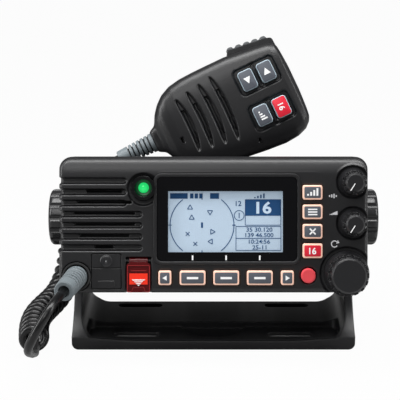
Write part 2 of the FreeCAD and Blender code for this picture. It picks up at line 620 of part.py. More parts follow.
# Status lamp: bezel ring and lens
bezel = new_body("status_bezel")
pad(bezel, "bezel_ring", [ring(size("lamp_x"), size("lamp_z"), size("lamp_outer")),
                          ring(size("lamp_x"), size("lamp_z"), size("lamp_inner"))],
    size("lamp_rise") + 6.0, offset=-FRONT - 6.0)
keep(bezel, "status_bezel")
lens = new_body("status_lens")
dome = size("lamp_dome")
lens_radius = size("lamp_inner") - 0.05
revolve(lens, "dome", [
    line((-1.0, 0.0), (6.0, 0.0)), line((6.0, 0.0), (6.0, lens_radius)),
    line((6.0, lens_radius), (1.2, lens_radius)), line((1.2, lens_radius), (1.2, dome)),
    arc((1.2, dome), (-0.45, dome * 0.72), (-1.0, 0.5)), line((-1.0, 0.5), (-1.0, 0.0)),
])
keep(lens, "status_lens", RADIO * Placement(Vector(size("lamp_x"), FRONT, size("lamp_z")), Rotation()))


# Rotary controls: knob with castellated grip, shaft and the body behind the panel
def control_knob(label, x, z, skirt, cap, height, lugs, place_y):
    """A turned knob with a flared skirt and square lugs between the skirt and the front cap."""
    skirt_height = size("skirt_height")
    neck = cap + 0.25 * (skirt - cap)
    grip = cap + 0.55 * (skirt - cap)
    bore = size("shaft_radius") + size("shaft_clearance")
    depth_of_bore = 0.62 * height
    outline = [
        (0, bore), (0, skirt), (-1.2, skirt), (-skirt_height, grip), (-skirt_height, neck),
        (1.2 - height, cap), (-height, cap - 1.0), (-height, 0), (-depth_of_bore, 0), (-depth_of_bore, bore),
    ]
    points = [Vector(0, y, radius) for y, radius in outline]
    turned = Part.Face(Part.makePolygon(points + [points[0]])).revolve(Vector(), Vector(0, 1, 0), 360)
    lug_length = 0.42 * height
    lug_width = 2 * math.pi * grip / lugs * 0.52
    pieces = []
    for index in range(lugs):
        lug = Part.makeBox(grip - 0.72 * neck, lug_length + 0.4, lug_width,
                           Vector(0.72 * neck, -skirt_height - lug_length, -lug_width / 2))
        lug.rotate(Vector(), Vector(0, 1, 0), 360.0 * index / lugs)
        pieces.append(lug)
    turned = turned.fuse(pieces).removeSplitter()
    keep(feature(label, turned.Solids[0]), label, RADIO * Placement(Vector(x, place_y, z), Rotation()))


def control_shaft(label, x, z, length, place_y):
    """A round shaft from the control body through the panel into the knob."""
    shaft = cylinder(label + "_bar", x, board_y - 8.0, z, "Sizes.shaft_radius",
                     board_y - 8.0 - place_y + length)
    keep(shaft, label)


knob_base = FRONT + size("well_depth") - size("knob_float")
dial_base = FRONT + size("well_depth") - size("knob_float") - size("dial_push")
control_knob("squelch_knob", KNOB_X, size("squelch_z"), size("knob_skirt"), size("knob_cap"),
             size("knob_height"), 12, knob_base)
control_knob("volume_knob", KNOB_X, size("volume_z"), size("knob_skirt"), size("knob_cap"),
             size("knob_height"), 12, knob_base)
control_knob("dial_knob", DIAL_X, size("dial_z"), size("dial_skirt"), size("dial_cap"),
             size("dial_height"), 16, dial_base)
control_shaft("squelch_shaft", KNOB_X, size("squelch_z"), 0.55 * size("knob_height"), knob_base)
control_shaft("volume_shaft", KNOB_X, size("volume_z"), 0.55 * size("knob_height"), knob_base)
control_shaft("dial_shaft", DIAL_X, size("dial_z"), 0.55 * size("dial_height"), dial_base)
bodies = []
for x, z in control_places:
    case = Part.makeBox(11.0, board_y - floor_y - 0.4, 11.0, Vector(x - 5.5, floor_y + 0.2, z - 5.5))
    bore = Part.makeCylinder(size("shaft_radius") + size("shaft_clearance"), 2 * size("panel_depth"),
                             Vector(x, floor_y - 5, z), Vector(0, 1, 0))
    bodies.append(case.cut(bore))
keep(feature("control_bodies", Part.makeCompound(bodies)), "control_bodies")

# Keys in their openings, with a stem that ends over the mat
stem_back = floor_y + size("key_travel") + 0.6
for name, x, z, width, height in KEYS:
    key = new_body(name)
    pad(key, name + "_cap", [rounded(x, z, width, height, size("key_corner"))],
        size("key_rise") + stem_back - FACE, offset=-stem_back)
    keep(key, name)
power_key = cylinder("power_bar", size("power_x"), stem_back, size("power_z"), "Sizes.power_radius",
                     size("key_rise") + stem_back - FACE)
keep(power_key, "key_power")
mat_y = stem_back + size("key_travel") + 0.1
mat = new_body("keypad_mat")
mat_outline = polygon([
    (size("zone_left") + 2, size("zone_bottom") + 1.5), (size("zone_right") - 1, size("zone_bottom") + 1.5),
    (size("zone_right") - 1, size("side_key_top") + 6), (size("side_key_x") - 7, size("side_key_top") + 6),
    (size("side_key_x") - 7, size("row_key_z") + 6), (size("zone_left") + 2, size("row_key_z") + 6),
])
pad(mat, "mat_sheet", [mat_outline], 1.2, offset=-mat_y - 1.2)
keep(mat, "keypad_mat")

# Distress key: a lifting flap on a pin over a guarded button
flap_front = FRONT + 0.2
flap_back = flap_front + size("flap_thick")
pin_y = flap_back + 0.4
pin_z = size("flap_top") + 1.6
pin_length = size("flap_width") + 1.4
pin = cylinder("pin_bar", size("flap_x") - pin_length / 2, pin_y, pin_z, "Sizes.flap_pin", pin_length,
               Vector(1, 0, 0))
keep(pin, "distress_pin")
half_flap = size("flap_width") / 2
plate = solid_between(rounded(size("flap_x"), (size("flap_top") + size("flap_bottom")) / 2, size("flap_width"),
                              size("flap_top") - size("flap_bottom"), 1.2), flap_front, flap_back)
tab = solid_between(polygon([
    (size("flap_x") - 3.8, size("flap_bottom") + 0.4), (size("flap_x") + 3.8, size("flap_bottom") + 0.4),
    (size("flap_x") + 2.8, size("flap_bottom") + 2.8), (size("flap_x") - 2.8, size("flap_bottom") + 2.8)]),
    flap_front - 0.9, flap_front + 0.3)
knuckle = Part.makeCylinder(size("flap_pin") + 0.9, size("flap_width") - 3.0,
                            Vector(size("flap_x") - half_flap + 1.5, pin_y, pin_z), Vector(1, 0, 0))
web = Part.makeBox(size("flap_width") - 3.0, size("flap_thick"), 2.0,
                   Vector(size("flap_x") - half_flap + 1.5, flap_front, size("flap_top") - 1.0))
bore = Part.makeCylinder(size("flap_pin") + 0.06, size("flap_width") + 4,
                         Vector(size("flap_x") - half_flap - 2, pin_y, pin_z), Vector(1, 0, 0))
flap = plate.fuse([tab, knuckle, web]).cut(bore).removeSplitter()
keep(feature("distress_cover", flap.Solids[0]), "distress_cover")
distress = new_body("distress_button")
distress_front = flap_back + 0.5
pad(distress, "distress_cap",
    [rounded(size("flap_x"), button_z, size("distress_width"), size("distress_height"), 1.0)],
    stem_back - distress_front, offset=-stem_back)
keep(distress, "distress_button")

# Service cover with a finger step and its round screw
service = new_body("service_cover")
pad(service, "cover_plate",
    [rounded(size("service_x"), size("service_z"), size("service_width") - 0.4, size("service_height") - 0.4,
             0.8)],
    2.0, offset=-FRONT - 2.2)
pocket(service, "cover_step",
       [polygon([(service_left - 1, size("service_z") + 2.4),
                 (service_left + size("service_width") + 1, size("service_z") + 2.4),
                 (service_left + size("service_width") + 1, size("service_z") + 1.6),
                 (service_left - 1, size("service_z") + 1.6)])],
       0.6, offset=-FRONT - 0.2)
pad(service, "cover_screw", [ring(size("service_x"), size("service_z") + 6.1, 3.5)], 0.8, offset=-FRONT - 0.4)
pad(service, "cover_tab", [rounded(size("service_x"), size("service_z") - 7.6, 10.0, 4.0, 0.8)], 0.6,
    offset=-FRONT - 0.4)
keep(service, "service_cover")

# Microphone socket ring and the ribbed boot that leaves it
socket = new_body("mic_socket")
pad(socket, "socket_ring", [ring(SOCKET_X, size("socket_z"), size("socket_outer")),
                            ring(SOCKET_X, size("socket_z"), size("socket_inner"))],
    "Sizes.socket_rise + 1.8", offset=-FRONT - 1.8)
keep(socket, "mic_socket")


def ribbed_boot(root, end, length, rings):
    """A tapered boot along +Z from the origin, grooved round its length, with a hollow end band."""
    band_length = 6.0
    points = [(0.0, 0.0), (root, 0.0)]
    pitch = (length - band_length - 2.0) / rings
    for index in range(rings):
        start = 2.0 + index * pitch
        radius = root + (end - root) * start / length
        points += [(radius, start), (radius - 0.9, start + 0.15 * pitch), (radius - 0.9, start + 0.5 * pitch),
                   (radius, start + 0.65 * pitch)]
    mouth = size("cord_radius") + 0.6
    points += [(end, length - band_length), (end, length - 0.8), (end - 0.8, length), (mouth, length),
               (mouth, length - 2.5), (0.0, length - 2.5)]
    corners = [Vector(radius, 0, height) for radius, height in points]
    return Part.Face(Part.makePolygon(corners + [corners[0]])).revolve(Vector(), Vector(0, 0, 1), 360)


boot_way = Vector(-3.8, -26.0, -5.0)
boot_way.normalize()
boot_root = Vector(SOCKET_X, FRONT + 0.9, size("socket_z"))
boot = ribbed_boot(size("boot_root"), size("boot_end"), size("boot_length"), 6)
boot.Placement = Placement(boot_root, Rotation(Vector(0, 0, 1), boot_way))
keep(feature("radio_boot", boot), "radio_boot")

# Housing screws from the back, one in each corner
screws = []
for x, side in [(x, side) for x in (-1, 1) for side in (-1, 1)]:
    place = Vector(x * (HALF_WIDTH + opening_width / 2) / 2, BACK, side * (CHASSIS_TOP - 10))
    screws.append(Part.makeCylinder(2.4, 1.6, place, Vector(0, 1, 0)))
keep(feature("housing_screws", Part.makeCompound(screws)), "housing_screws")

# Handset, drawn flat: x along its length from the neck, y its thickness, z across
LENGTH = size("handset_length")
HALF = size("handset_half")
TOP_HALF = size("handset_top_half")
LOW_HALF = size("handset_low_half")
THICK = size("handset_thick")
NECK = 7.5


def handset_outline(inset=0.0):
    """Neck, flared shoulders, a straight side by the talk bar, a fuller lower side and a bowed top."""
    reach = LENGTH - inset
    upper, top, lower = HALF - inset, TOP_HALF - inset, LOW_HALF - inset
    neck = NECK - inset
    shapes = [line((inset, -neck), (inset, neck)), line((inset, neck), (4.5, neck + 2.0)),
              arc((4.5, neck + 2.0), (11.5, 0.69 * upper), (23.0, 0.935 * upper)),
              arc((23.0, 0.935 * upper), (40.0, upper - 0.1), (62.0, upper)),
              line((62.0, upper), (reach - 5.5, top)),
              arc((reach - 5.5, top), (reach - 2.2, top - 1.4), (reach - 1.0, top - 5.0)),
              arc((reach - 1.0, top - 5.0), (reach, -3.0), (reach - 1.6, -0.62 * lower)),
              arc((reach - 1.6, -0.62 * lower), (reach - 5.2, -0.86 * lower), (reach - 14.0, 0.6 - lower)),
              arc((reach - 14.0, 0.6 - lower), (72.0, -lower), (60.0, 1.2 - lower)),
              line((60.0, 1.2 - lower), (40.0, 3.8 - lower)),
              arc((40.0, 3.8 - lower), (31.0, -0.98 * upper - 0.9), (23.0, -0.935 * upper)),
              arc((23.0, -0.935 * upper), (11.5, -0.69 * upper), (4.5, -neck - 2.0)),
              line((4.5, -neck - 2.0), (inset, -neck))]
    return shapes


lean = Rotation(Vector(0, -1, 0), size("handset_lean"))
split = 2.0
front_prism = solid_between(handset_outline(), split, -THICK / 2)
rear_prism = solid_between(handset_outline(), split, THICK / 2)
front_edges = [edge for edge in front_prism.Edges if abs(edge.BoundBox.YMin + THICK / 2) < 0.01
               and abs(edge.BoundBox.YMax + THICK / 2) < 0.01]
rear_edges = [edge for edge in rear_prism.Edges if abs(edge.BoundBox.YMin - THICK / 2) < 0.01
              and abs(edge.BoundBox.YMax - THICK / 2) < 0.01]
front_shell = front_prism.makeChamfer(size("handset_edge"), front_edges)
rear_shell = rear_prism.makeChamfer(size("handset_edge"), rear_edges)
leaned = front_prism.fuse(rear_prism).copy()
leaned.Placement = Placement(Vector(size("handset_neck_x"), 0, 0), lean)
HANDSET_SEAT = CHASSIS_TOP + size("handset_seat") - leaned.BoundBox.ZMin
HANDSET = RADIO * Placement(Vector(size("handset_neck_x"), 0, HANDSET_SEAT), lean)
hollow_front = solid_between(handset_outline(3.2), split + 0.1, -THICK / 2 + 5.0)
hollow_rear = solid_between(handset_outline(3.2), split - 0.1, THICK / 2 - 4.0)
face_y = -THICK / 2
grooves = []
for index in range(4):
    centre = 23.5 + 8.3 * index
    half_width = 18.1 + 1.4 * index
    lens_edge = [arc((centre, -half_width), (centre + 2.6, 0), (centre, half_width)),
                 arc((centre, half_width), (centre - 1.4, 0), (centre, -half_width))]
    grooves.append(solid_between(lens_edge, face_y - 1, face_y + 1.8))
KEY_SIDE = 11.0
handset_keys = [("handset_key_up", 69.2, 9.5), ("handset_key_down", 81.9, 9.5),
                ("handset_key_power", 68.3, -14.0), ("handset_key_sixteen", 81.0, -14.3)]
key_holes = []
for name, along, across in handset_keys:
    key_holes.append(solid_between(rounded(along, across, KEY_SIDE + 2 * gap, KEY_SIDE + 2 * gap, 2.0 + gap),
                                   face_y - 1, face_y + 8.0))
ptt_low, ptt_high = 66.0, 90.0
ptt_z = 20.0
ptt_slot = Part.makeBox(ptt_high - ptt_low + 0.6, 14.6, 20.0, Vector(ptt_low - 0.3, -7.3, ptt_z))
front_shell = front_shell.cut([hollow_front, ptt_slot] + grooves + key_holes)
rear_shell = rear_shell.cut([hollow_rear, ptt_slot])
stud_hole = Part.makeCylinder(4.05, 12, Vector(60, THICK / 2 + 4, 0), Vector(0, -1, 0))
rear_shell = rear_shell.cut(stud_hole)
keep(feature("handset_front", front_shell.removeSplitter()), "handset_front", HANDSET)
keep(feature("handset_rear", rear_shell.removeSplitter()), "handset_rear", HANDSET)
for name, along, across in handset_keys:
    key = new_body(name)
    pad(key, name + "_cap", [rounded(along, across, KEY_SIDE, KEY_SIDE, 2.0)], 1.2 + 6.6, offset=-face_y - 6.6)
    keep(key, name, HANDSET)
board_half = 0.61 * HALF
board = block("handset_sheet", 14.0, face_y + 8.8, -board_half, LENGTH - 21.6, 1.6, 2 * board_half)
keep(board, "handset_board", HANDSET)
capsule = cylinder("capsule_can", 38.0, face_y + 8.6, 0.0, 4.8, 3.4)
keep(capsule, "mic_capsule", HANDSET)
ptt = Part.makeBox(ptt_high - ptt_low, 14.0, 11.5, Vector(ptt_low, -7.0, ptt_z + 0.3))
bumps = []
for index in range(6):
    bumps.append(Part.makeCylinder(1.4, 10.0, Vector(ptt_low + 3.4 + 3.45 * index, -5.0, ptt_z + 11.6),
                                   Vector(0, 1, 0)))
ptt = ptt.fuse(bumps).removeSplitter()
keep(feature("handset_ptt", ptt.Solids[0]), "handset_ptt", HANDSET)
stud_head = cylinder("hang_head", 60.0, THICK / 2 + 6.4, 0.0, 6.5, 2.4)
stud_bar = cylinder("hang_bar", 60.0, THICK / 2 + 4.2, 0.0, 4.0, 11.0)
keep(fuse("hang_stud", stud_head, stud_bar), "hang_stud", HANDSET)
handset_boot = ribbed_boot(6.2, 4.4, 24.5, 5)
boot_turn = Rotation(Vector(0, 0, 1), Vector(-1, 0, 0))
handset_boot.Placement = Placement(Vector(0, 0, 0), boot_turn)
keep(feature("handset_boot", handset_boot), "handset_boot", HANDSET)
handset_screws = []
for along, across in ((20.0, 14.0), (20.0, -14.0), (84.0, 12.0), (84.0, -18.0)):
    handset_screws.append(Part.makeCylinder(2.4, 1.4, Vector(along, THICK / 2, across), Vector(0, 1, 0)))
keep(feature("handset_screws", Part.makeCompound(handset_screws)), "handset_screws", HANDSET)


# Cords: straight runs joined by tangent arcs, and a helix for the curly length
def cord_path(points):
    """Runs between the points with an arc at each inner point, as large as its two runs allow."""
    edges = []
    start = points[0]
    radii = []
    for before, corner, after in zip(points, points[1:], points[2:]):
        back, ahead = before - corner, after - corner
        trim = 0.45 * min(back.Length, ahead.Length)
        turn = math.pi - back.getAngle(ahead)
        radii.append(trim / math.tan(turn / 2))
        near = corner + back * (trim / back.Length)
        far = corner + ahead * (trim / ahead.Length)
        middle_way = (near + far) * 0.5 - corner
        to_middle = radii[-1] / math.cos(turn / 2) - radii[-1]
        middle = corner + middle_way * (to_middle / middle_way.Length)
        edges.append(Part.makeLine(start, near))
        edges.append(Part.Arc(near, middle, far).toShape())
        start = far
    edges.append(Part.makeLine(start, points[-1]))
    return Part.Wire(edges), radii


def tube(wire, start, way, radius):
    """A pipe shell of a round section along the wire."""
    section = Part.Wire([Part.Circle(start, way, radius).toShape()])
    return wire.makePipeShell([section], True, False)


def report_tube(name, wire, solid, radii):
    expected = math.pi * size("cord_radius") ** 2 * wire.Length
    print(name, "length %.1f" % wire.Length, "volume ratio %.4f" % (solid.Volume / expected),
          "least radius %.1f" % min(radii))


BOOT_END = RADIO.multVec(boot_root + boot_way * (size("boot_length") - 2.5))
BOOT_WAY = TILT.multVec(boot_way)
HANDSET_END = HANDSET.multVec(Vector(-22.0, 0, 0))
HANDSET_WAY = HANDSET.Rotation.multVec(Vector(-1, 0, 0))

# The curly length: a route for its axis, then a helix round it with drawn-out ends
CURL_AXIS = [Vector(-HALF_OUTER - out, y, z) for out, y, z in (
    (18.3, -62, 12.6), (22.5, -38, 10.2), (25, -10, 10.1), (22, 12, 10.1), (16.5, 34, 11.8),
    (12.5, 52, 20), (10.3, 62, 36), (9.5, 64, 54), (9, 60, 70))]


def curl_samples():
    """Dense points on the axis with a frame carried along it without twist."""
    curve = Part.BSplineCurve()
    curve.interpolate(CURL_AXIS)
    count = 600
    samples = []
    side_way = None
    travelled = 0.0
    previous = None
    for index in range(count + 1):
        at = curve.FirstParameter + (curve.LastParameter - curve.FirstParameter) * index / count
        point = curve.value(at)
        way = Vector(*curve.tangent(at)[0])
        way.normalize()
        if side_way is None:
            side_way = Vector(1, 0, 0)
        side_way = side_way - way * side_way.dot(way)
        side_way.normalize()
        if previous is not None:
            travelled += (point - previous).Length
        previous = point
        samples.append((travelled, point, side_way, side_way.cross(way)))
    return samples


CURL = curl_samples()
CURL_LENGTH = CURL[-1][0]


def curl_frame(distance):
    """The axis point and its two cross directions at a distance along the axis."""
    place = max(0.0, min(1.0, distance / CURL_LENGTH)) * (len(CURL) - 1)
    index = min(int(place), len(CURL) - 2)
    share = place - index
    first, second = CURL[index], CURL[index + 1]
    return tuple(first[k] * (1 - share) + second[k] * share for k in (1, 2, 3))


def helix_point(turns, total_turns):
    """A point of the helix; the first and last half turn are drawn out along the axis."""
    ends = 1.0
    drawn = 4.0
    extra = ends * (drawn - 1.0)
    opening = min(1.0, turns / ends, (total_turns - turns) / ends)
    reach = size("curl_radius") * opening * opening * (3 - 2 * opening)

    def stretched(value):
        if value < ends:
            return value * drawn - (drawn - 1.0) * value * value / (2 * ends)
        return value + ends * (drawn - 1.0) / 2

    plain = stretched(turns)
    if turns > total_turns / 2:
        plain = total_turns + extra - stretched(total_turns - turns)
    distance = plain / (total_turns + extra) * CURL_LENGTH
    point, side_way, up_way = curl_frame(distance)
    angle = 2 * math.pi * turns + math.radians(150)
    return point + side_way * (reach * math.cos(angle)) + up_way * (reach * math.sin(angle))


def biarc(start, start_way, end, end_way):
    """Two tangent arcs from one point and direction to the next."""
    chord_line = end - start
    both = start_way + end_way
    turn_share = 2 * (start_way.dot(end_way) - 1)
    linear = -2 * chord_line.dot(both)
    square = chord_line.dot(chord_line)
    root = math.sqrt(linear * linear - 4 * turn_share * square)
    reach = (-linear - root) / (2 * turn_share)
    if reach < 0:
        reach = (-linear + root) / (2 * turn_share)
    joint = (start + end + (start_way - end_way) * reach) * 0.5
    arcs = []
    for first, last, corner in ((start, joint, start + start_way * reach), (joint, end, end - end_way * reach)):
        centre = (first + last) * 0.5
        rise = corner - centre
        half_chord = (last - first).Length / 2
        angle = math.atan2(rise.Length, half_chord)
        sagitta = half_chord * math.tan(angle / 2)
        rise.normalize()
        arcs.append(Part.Arc(first, centre + rise * sagitta, last).toShape())
    return arcs


TURNS = int(CURL_LENGTH / size("curl_pitch")) - 2
QUARTERS = int(TURNS * 4)
step = 0.001
helix_points = []
for index in range(QUARTERS + 1):
    turns = index / 4
    here = helix_point(turns, QUARTERS / 4)
    ahead = helix_point(min(turns + step, QUARTERS / 4), QUARTERS / 4)
    behind = helix_point(max(turns - step, 0), QUARTERS / 4)
    way = ahead - behind
    way.normalize()
    helix_points.append((here, way))
curl_edges = []
lead_in = helix_points[0][0] - helix_points[0][1] * (2 * size("cord_radius"))
lead_out = helix_points[-1][0] + helix_points[-1][1] * (2 * size("cord_radius"))
curl_edges.append(Part.makeLine(lead_in, helix_points[0][0]))
for (start, start_way), (end, end_way) in zip(helix_points, helix_points[1:]):
    curl_edges += biarc(start, start_way, end, end_way)
curl_edges.append(Part.makeLine(helix_points[-1][0], lead_out))
curl_wire = Part.Wire(curl_edges)
curl_solid = tube(curl_wire, lead_in, helix_points[0][1], size("cord_radius"))
if curl_solid.Volume < 0:
    curl_solid.reverse()
samples = curl_wire.discretize(Number=2400)
spacing = curl_wire.Length / 2399
skip = int(2 * math.pi * size("curl_radius") * 0.5 / spacing)
least = min((samples[i] - samples[j]).Length for i in range(0, len(samples), 3)
            for j in range(i + skip, min(i + 5 * skip, len(samples)), 3))
print("curl gap to itself %.2f" % (least - 2 * size("cord_radius")), "wire %.0f" % curl_wire.Length,
      "volume ratio %.4f" % (curl_solid.Volume / (math.pi * size("cord_radius") ** 2 * curl_wire.Length)))
keep(feature("cord_curl", curl_solid), "cord_curl", WORLD)

LEAD = [BOOT_END, BOOT_END + BOOT_WAY * 29, Vector(-HALF_OUTER - 16, -113.6, 29.4),
        lead_in - helix_points[0][1] * 18, lead_in]
lead_wire, lead_radii = cord_path(LEAD)
lead_solid = tube(lead_wire, BOOT_END, BOOT_WAY, size("cord_radius"))
report_tube("lead", lead_wire, lead_solid, lead_radii)
keep(feature("cord_lead", lead_solid), "cord_lead", WORLD)

TAIL = [HANDSET_END, HANDSET_END + HANDSET_WAY * 7.5, Vector(6 - HALF_OUTER, 19, 105.4),
        Vector(-HALF_OUTER - 7.6, 40, 99.5), lead_out + helix_points[-1][1] * 14, lead_out]
tail_wire, tail_radii = cord_path(TAIL)
tail_solid = tube(tail_wire, HANDSET_END, HANDSET_WAY, size("cord_radius"))
report_tube("tail", tail_wire, tail_solid, tail_radii)
keep(feature("cord_tail", tail_solid), "cord_tail", WORLD)
for name, points in (("lead", LEAD), ("tail", TAIL), ("curl ends", [lead_in, lead_out])):
    print(name, [tuple(round(value, 2) for value in point) for point in points])

# Check every object and write one file for each sub-part
doc.recompute()
for item in doc.Objects:
    if "Invalid" in item.State or "Error" in item.State:
        raise ValueError("failed object " + item.Label)
for item in PARTS:
    if item.Shape.isNull() or not item.Shape.isValid():
        raise ValueError("failed shape " + item.Label)
    item.Shape.exportStep("parts/%s.step" % item.Label)
print(len(PARTS), "parts")
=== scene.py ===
# %% [markdown]
# # A fixed marine radio with its hand microphone
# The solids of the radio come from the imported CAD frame. This script gives them
# their finishes, and adds what is too fine or too soft for CAD: the curly cord,
# the picture on the display, the painted keys and the rounded shells.

import json
import math

import bmesh
import bpy
import numpy as np
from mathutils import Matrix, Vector

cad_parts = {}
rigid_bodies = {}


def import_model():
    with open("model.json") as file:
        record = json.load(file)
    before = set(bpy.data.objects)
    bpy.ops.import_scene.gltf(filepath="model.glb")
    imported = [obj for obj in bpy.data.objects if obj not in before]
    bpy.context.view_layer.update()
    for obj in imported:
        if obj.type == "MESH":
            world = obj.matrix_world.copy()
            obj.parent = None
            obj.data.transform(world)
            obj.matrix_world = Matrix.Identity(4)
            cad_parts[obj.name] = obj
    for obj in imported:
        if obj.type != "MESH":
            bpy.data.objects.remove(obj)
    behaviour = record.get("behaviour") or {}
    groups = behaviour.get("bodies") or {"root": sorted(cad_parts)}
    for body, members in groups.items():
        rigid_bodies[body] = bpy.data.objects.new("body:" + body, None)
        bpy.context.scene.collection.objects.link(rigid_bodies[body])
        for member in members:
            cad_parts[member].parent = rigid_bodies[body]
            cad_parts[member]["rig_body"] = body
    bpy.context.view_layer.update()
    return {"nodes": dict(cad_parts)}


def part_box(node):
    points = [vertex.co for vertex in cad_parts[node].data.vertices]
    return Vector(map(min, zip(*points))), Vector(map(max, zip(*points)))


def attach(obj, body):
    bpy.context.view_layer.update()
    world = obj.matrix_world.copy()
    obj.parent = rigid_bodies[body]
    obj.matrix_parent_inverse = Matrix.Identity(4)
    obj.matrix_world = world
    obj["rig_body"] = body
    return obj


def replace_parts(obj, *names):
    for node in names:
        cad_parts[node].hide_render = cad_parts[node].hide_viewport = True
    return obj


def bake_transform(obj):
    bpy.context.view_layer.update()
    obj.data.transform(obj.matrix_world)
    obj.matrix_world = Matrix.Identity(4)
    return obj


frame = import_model()
nodes = frame["nodes"]
print("CAD nodes:", len(nodes))

# %% [markdown]
# The radio sits tilted back in its bracket. Its own frame has x to the right,
# y to the back and z up along the panel, in millimetres, and one matrix takes
# it to the row frame in metres. The handset has a frame of its own as well.

# %% Frames and sizes
MM = 0.001
TILT = math.radians(-12)
PIVOT = np.array([0.0, 8.0, 71.5])
PIVOT_RISE = 1.2
HALF_WIDTH, HALF_HEIGHT = 90.0, 39.6
FRONT, FACE = -60.0, -60.8
KNOB_X, SQUELCH_Z, VOLUME_Z = 81.2, 25.0, 1.0


def turn_x(angle):
    """The rotation by an angle about x, as rows: y turns towards z."""
    c, s = math.cos(angle), math.sin(angle)
    return np.array([[1, 0, 0], [0, c, -s], [0, s, c]])


RADIO_TURN = turn_x(TILT)
RADIO_PLACE = PIVOT - RADIO_TURN @ np.array([0, 0, PIVOT_RISE])


def on_radio(points):
    """Radio frame in mm to the row frame in m: the tilt, then the move."""
    return (np.asarray(points, float) @ RADIO_TURN.T + RADIO_PLACE) * MM


LEAN = math.radians(25.4)
HANDSET_FACE = -16.0
LEAN_TURN = np.array([[math.cos(LEAN), 0, -math.sin(LEAN)], [0, 1, 0],
                      [math.sin(LEAN), 0, math.cos(LEAN)]])
shell_low, shell_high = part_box("handset_key_up")
KEY_UP = np.array([69.2, HANDSET_FACE - 1.2, 9.5])
key_middle = (np.array(shell_low + shell_high) / 2 / MM - RADIO_PLACE) @ RADIO_TURN
HANDSET_PLACE = np.array([-37.3, 0.0, key_middle[2] - (LEAN_TURN @ KEY_UP)[2]])


def on_handset(points):
    """Handset frame in mm to the row frame: the lean on the radio, then the tilt."""
    return on_radio(np.asarray(points, float) @ LEAN_TURN.T + HANDSET_PLACE)


print("handset neck in the radio frame:", HANDSET_PLACE.round(2))

# %% [markdown]
# The camera looks straight at the tilted panel, from a little above its middle.
# A long lens keeps the perspective of the photograph, and a small shift puts
# the radio where the photograph has it.

# %% Camera
FRAME_PIXELS = 400
FOCAL_PIXELS = 1204
SENSOR = 36.0
CAMERA_PLACE = on_radio([0.0, -760.0, 46.5])
AXIS_PIXEL = (213.45, 145.0)


def placed(name, data):
    """A new object for a mesh, a curve, a lamp or the camera, linked into the scene."""
    made = bpy.data.objects.new(name, data)
    bpy.context.scene.collection.objects.link(made)
    return made


camera_data = bpy.data.cameras.new("camera")
camera_data.sensor_width = SENSOR
camera_data.lens = FOCAL_PIXELS / FRAME_PIXELS * SENSOR
camera_data.shift_x = (FRAME_PIXELS / 2 - AXIS_PIXEL[0]) / FRAME_PIXELS
camera_data.shift_y = (AXIS_PIXEL[1] - FRAME_PIXELS / 2) / FRAME_PIXELS
camera = placed("camera", camera_data)
camera.location = Vector(CAMERA_PLACE)
camera.rotation_euler = (math.radians(90) + TILT, 0, 0)
bpy.context.scene.camera = camera
bpy.context.scene.view_settings.view_transform = "Standard"
print("lens %.1f mm" % camera_data.lens)

# %% [markdown]
# Shapes are grids of points worked out with numpy. A grid has rows and columns,
# and its faces join each point to its neighbours. A closed grid joins its last
# column to its first, and flat caps close its first and last rows.

# %% Mesh helpers
CORNER_POINTS, DISC_POINTS = 7, 48


def mesh_object(name, points, faces, finish, body, smooth=True):
    """A mesh from points in the row frame and its faces, riding on one body."""
    mesh = bpy.data.meshes.new(name)
    mesh.from_pydata(np.asarray(points).reshape(-1, 3).tolist(), [], faces)
    mesh.update()
    mesh.polygons.foreach_set("use_smooth", [smooth] * len(mesh.polygons))
    mesh.materials.append(finish)
    made = placed(name, mesh)
    if body:
        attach(made, body)
    return made


def grid_faces(rows, columns, closed=True):
    """The quads of a grid whose point (r, c) has number r * columns + c."""
    number = np.arange(rows * columns).reshape(rows, columns)
    if closed:
        number = np.concatenate([number, number[:, :1]], axis=1)
    corners = np.stack([number[:-1, :-1], number[:-1, 1:], number[1:, 1:], number[1:, :-1]], -1)
    return corners.reshape(-1, 4).tolist()


def grid_object(name, grid, finish, body, capped=True, place=on_radio, angle=40):
    """A closed grid as one skin, with its end rows filled by one flat face each."""
    rows, columns = grid.shape[:2]
    faces = grid_faces(rows, columns)
    if capped:
        faces.append(list(range(columns))[::-1])
        faces.append(list(range((rows - 1) * columns, rows * columns)))
    made = mesh_object(name, place(grid.reshape(-1, 3)), faces, finish, None)
    outwards(made)
    made.data.set_sharp_from_angle(angle=math.radians(angle))
    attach(made, body)
    return made


def outwards(made):
    """Turns all faces of a closed mesh to point outwards."""
    work = bmesh.new()
    work.from_mesh(made.data)
    bmesh.ops.remove_doubles(work, verts=work.verts, dist=1e-7)
    bmesh.ops.recalc_face_normals(work, faces=work.faces)
    work.to_mesh(made.data)
    work.free()


def rounded_outline(half_x, half_z, corner):
    """Points round a rectangle with round corners: each corner's centre plus its
    radius along angles that run through a quarter turn."""
    corner = min(corner, half_x * 0.999, half_z * 0.999)
    angles = np.linspace(0, math.pi / 2, CORNER_POINTS)
    sides = []
    for quarter, (sx, sz) in enumerate(((1, 1), (-1, 1), (-1, -1), (1, -1))):
        turn = angles + quarter * math.pi / 2
        sides.append(np.stack([sx * (half_x - corner) + corner * np.cos(turn),
                               sz * (half_z - corner) + corner * np.sin(turn)], -1))
    return np.concatenate(sides)


def plate_grid(x, z, half_x, half_z, corner, levels):
    """A plate with a shaped edge: each level is (inset, y) and gives one row, the
    outline moved in by the inset at that y."""
    rows = []
    for inset, y in levels:
        outline = rounded_outline(half_x - inset, half_z - inset, max(corner - inset, 0.05))
        rows.append(np.stack([x + outline[:, 0], np.full(len(outline), y), z + outline[:, 1]], -1))
    return np.stack(rows)


def round_edge(front, back, radius, steps=4):
    """Levels for a plate from back to front, whose front edge is a quarter round."""
    angles = np.linspace(0, math.pi / 2, steps + 1)
    edge = [(radius - radius * math.cos(a), front + radius - radius * math.sin(a)) for a in angles]
    return [(0.0, back)] + edge


